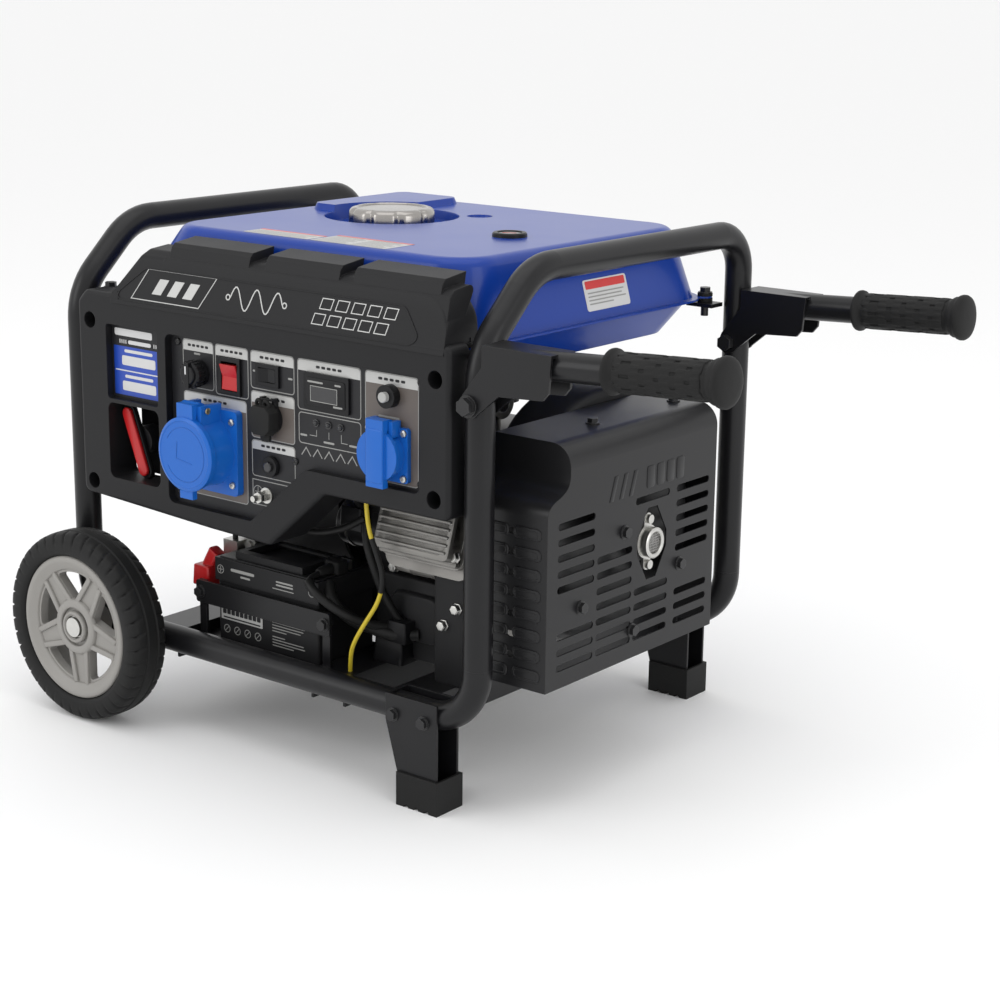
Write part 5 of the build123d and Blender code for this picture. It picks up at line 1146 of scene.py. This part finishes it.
def make_engine_detail():
    """Cast bosses, ribs and bolts on the engine, the black side plate, the cooling cowl, loom and connector
    boxes, and dark blocks that are painted shade over the lower crankcase.
    """
    cast = bmesh.new()
    tilt = math.radians(18)
    up = Vector((0, math.sin(tilt), math.cos(tilt)))
    head = (Vector((1, 0, 0)), up, Vector((0, -math.cos(tilt), math.sin(tilt))))
    base = Vector((158, -60, 235)) + head[2] * 96
    prism(cast, rounded(94, 76, 6), base, head, 21.0)
    for k in range(9):
        prism(cast, rounded(90, 3.0, 1.4, (0, -30 + k * 7.5)), base, head, 23.6, 0.99)
    prism(cast, rounded(98, 6, 2, (0, 39)), base, head, 8)
    prism(cast, rounded(98, 6, 2, (0, -39)), base, head, 8)
    for x, y, z, length in ((134, -148, 231, 32), (136, -148, 212, 30), (96, -134, 222, 16)):
        lathe(cast, [(0, 0), (9.6, 0), (9.2, length * 0.7), (8.2, length), (4.6, length), (4.6, length - 5),
                     (0, length - 5)],
              (x, y, z), RIGHT_END, 28)
    prism(cast, rounded(72, 76, 8, (128, 232)), (0, -110, 0), FRONT, 24, 0.92)
    for k in range(3):
        prism(cast, rounded(5, 34, 2, (104 + k * 15, 250)), (0, -132, 0), FRONT, 5)
    prism(cast, rounded(58, 5, 2, (128, 200)), (0, -132, 0), FRONT, 5)
    piece("head_casting", "frame", "cast alloy", cast, bevel=1.4, slot="cast_alloy", segments=2)
    bolt = bmesh.new()
    lathe(bolt, [(0, 0), (6.2, 0), (6.2, 1.2), (5.2, 1.4), (5.2, 6.2), (4.4, 6.8), (0, 6.8)], (0, 0, 0),
          TOP, 6)
    spots = [(base + head[0] * a + up * b + head[2] * 5, (72, 0, 0)) for a in (-45, 45) for b in (-32, 32)]
    spots += [((196, -153, 240), FACING_FRONT), ((195, -153, 180), FACING_FRONT),
              ((178, -153, 160), FACING_FRONT),
              ((98, -133, 200), FACING_FRONT), ((98, -133, 244), FACING_FRONT), ((232, 5, 350), (0, 90, 0))]
    mesh_piece("engine_bolts", "frame", "zinc", [(copies_at(bolt, spots, "zinc"), Matrix())], bevel=0.4,
               slot="zinc_steel")
    # The tall plate at the right, with its bolts, is the engine's black side plate; the three lower blocks
    # are dark stand-ins for the shade on the lower crankcase, painted shade built as geometry.
    cover = bmesh.new()
    prism(cover, rounded(38, 160, 5, (184, 178)), (0, -112, 0), FRONT, 41)
    prism(cover, rounded(120, 88, 12, (124, 146)), (0, -112, 0), FRONT, 14, 0.96)
    prism(cover, rounded(70, 52, 14, (122, 150)), (0, -125, 0), FRONT, 8, 0.9)
    prism(cover, rounded(62, 116, 5, (54, 160)), (0, -88, 0), FRONT, 4)
    piece("engine_covers", "frame", "engine black", cover, bevel=2.5, slot="engine_black", segments=3)
    cowl = bmesh.new()
    outline = [(34 + 106 * math.cos(a), 300 + 74 * math.sin(a))
               for a in (math.pi * i / 24 for i in range(25))]
    prism(cowl, outline, (172, 0, 0), RIGHT_END, 60)
    prism(cowl, rounded(132, 38, 16, (164, 334)), (176, 0, 0), RIGHT_END, 40)
    piece("cooling_cowl", "frame", "engine black", cowl, bevel=8, slot="engine_black", segments=4)
    rings = bmesh.new()
    for x in (10, 56):
        lathe(rings, [(25.2, 0), (26.4, 0), (26.4, 2.4), (25.2, 2.4)], (x, -88, 222), RIGHT_END, 48)
    piece("starter_bands", "frame", "zinc", rings, slot="zinc_steel")
    loom = bmesh.new()
    for radius, route in LOOM_ROUTES:
        smooth = catmull(route, 7)
        sweep(loom, smooth, [radius * (1 + 0.05 * (i % 2)) for i in range(len(smooth))], 14)
    piece("cable_loom", "frame", "cable", loom, sharp=60, slot="cable")
    # Connector boxes; the two low ones also serve as dark mass in front of the shaded lower crankcase, so
    # they are partly painted shade.
    boxes = bmesh.new()
    prism(boxes, rounded(40, 34, 4, (96, -128)), (0, 0, 100), TOP, 26, 0.9)
    prism(boxes, rounded(26, 20, 3, (112, -140)), (0, 0, 126), TOP, 22, 0.9)
    prism(boxes, rounded(30, 18, 3, (60, -150)), (0, 0, 236), TOP, 24, 0.94)
    piece("connector_boxes", "frame", "device plastic", boxes, bevel=1.2, slot="engine_black")


# ---- muffler guard -----------------------------------------------------------------------------
def make_guard_detail():
    """Pressed louvres, a plain embossed mark, and the muffler outlet's ring and mesh."""
    louvres = []
    for x in (265, 303):
        for row in range(8):
            louvres.append(((x, -184.1, 282 - row * 19.5), FACING_FRONT))
    bulge = bmesh.new()
    prism(bulge, rounded(33, 12, 5), (0, 0, 0), TOP, 1.2, 0.92)
    ribbon(bulge, rounded(27, 7, 3), 1.0, (0, 0, 1.1), TOP, 0.5, closed=True)
    mesh_piece("guard_louvres", "frame", "guard paint", [(copies_at(bulge, louvres, "guard paint"),
                                                          Matrix())], bevel=0.8,
               slot="guard_black")
    bm = bmesh.new()
    for k in range(3):
        u = -88 + k * 16
        prism(bm, [(u, 296), (u + 6, 296), (u + 14, 320), (u + 8, 320)], (325.9, 0, 0), RIGHT_END, 0.6)
    for k in range(4):
        prism(bm, rounded(13, 22, 3, (-20 + k * 17, 309)), (325.9, 0, 0), RIGHT_END, 0.6)
    piece("guard_emboss", "frame", "guard paint", bm, bevel=0.4, slot="guard_black")
    bar = bmesh.new()
    box(bar, (-0.35, -9.6, 0), (0.35, 9.6, 0.7))
    mesh_places = [((327.5, -15 + 2.6 * k, 242), (90, 0, 90)) for k in range(-3, 4)]
    mesh_places += [((327.9, -15, 242 + 2.6 * k), (0, 90, 0)) for k in range(-3, 4)]
    mesh_piece("arrestor_mesh", "frame", "machined steel",
               [(copies_at(bar, mesh_places, "machined steel"), Matrix())],
               slot="muffler_steel")
    ring = [(10.8, 0), (14.8, 0), (15.4, 0.8), (15.4, 3.4), (14, 4.4), (11.8, 4.2), (10.8, 3.2)]
    turned("arrestor_ring", "frame", "zinc", ring, (326.4, -15, 242), RIGHT_END, 48, slot="muffler_steel")


make_visor()
make_screws()
make_knob_and_switches()
make_socket_detail()
make_outlet_cover()
make_starter_grip()
make_battery_detail()
make_engine_detail()
make_guard_detail()


# ---- leads, earth wire and hose ----------------------------------------------------------------
POSITIVE_LEAD = ((-112, -150, 194), (-112, -150, 218), (-108, -132, 240), (-84, -122, 258), (-36, -124, 266),
                 (8, -138, 264), (30, -132, 260), (30, -108, 260))
NEGATIVE_LEAD = ((31, -150, 189.5), (31, -178, 189.5), (35, -197, 186), (58, -199, 172), (82, -178, 150),
                 (102, -138, 136), (124, -104, 148), (124, -86, 160), (124, -62, 160))
EARTH_WIRE = ((122, -204, 293), (122, -203, 262), (130, -197, 232), (134, -192, 208), (126, -190, 182),
              (106, -190, 154), (92, -190, 132), (86, -188, 116), (84, -186, 100))
FUEL_HOSE = ((60, 112, 414), (60, 112, 388), (82, 100, 368), (116, 68, 360), (122, 30, 358), (122, -2, 358))


def make_cord(name, route, diameter, material, replaces=()):
    """One free cord on a smooth line through its route, fixed to the object at both ends."""
    curve = bpy.data.curves.new(name, "CURVE")
    curve.dimensions = "3D"
    spline = curve.splines.new("NURBS")
    spline.points.add(len(route) - 1)
    for point, place in zip(spline.points, route):
        point.co = (*at(*place), 1)
    spline.order_u, spline.use_endpoint_u = 3, True
    spline.resolution_u = 12
    made = new_object(name, curve)
    line = evaluated_mesh(made)
    points = [vertex.co / MM - Vector((SHIFT_X, 0, 0)) for vertex in line.vertices]
    curve.bevel_depth, curve.bevel_resolution = diameter / 2 * MM, 5
    curve.use_fill_caps = True
    curve.materials.append(MATERIALS[material])
    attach(made, "frame")
    if replaces:
        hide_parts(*replaces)
    return points


def make_cords():
    """Both battery leads, the earth wire and the fuel hose, with tape round one lead and the wire."""
    make_cord("positive_lead", POSITIVE_LEAD, 6, "cable", ["battery_leads"])
    line = make_cord("negative_lead", NEGATIVE_LEAD, 6, "cable")
    earth = make_cord("earth_lead", EARTH_WIRE, 4.4, "earth yellow",
                      ["earth_wire"])
    make_cord("fuel_line", FUEL_HOSE, 7, "cable", ["fuel_hose"])
    sleeve = bmesh.new()
    taped = line[len(line) // 5: len(line) * 7 // 10]
    sweep(sleeve, taped, [4.6 + 0.25 * (i % 2) for i in range(len(taped))], 16)
    taped = earth[len(earth) // 7: len(earth) * 9 // 20]
    sweep(sleeve, taped, [2.7 + 0.15 * (i % 2) for i in range(len(taped))], 14)
    piece("lead_tape", "frame", "cable", sleeve, sharp=60, slot="cable")


make_cords()
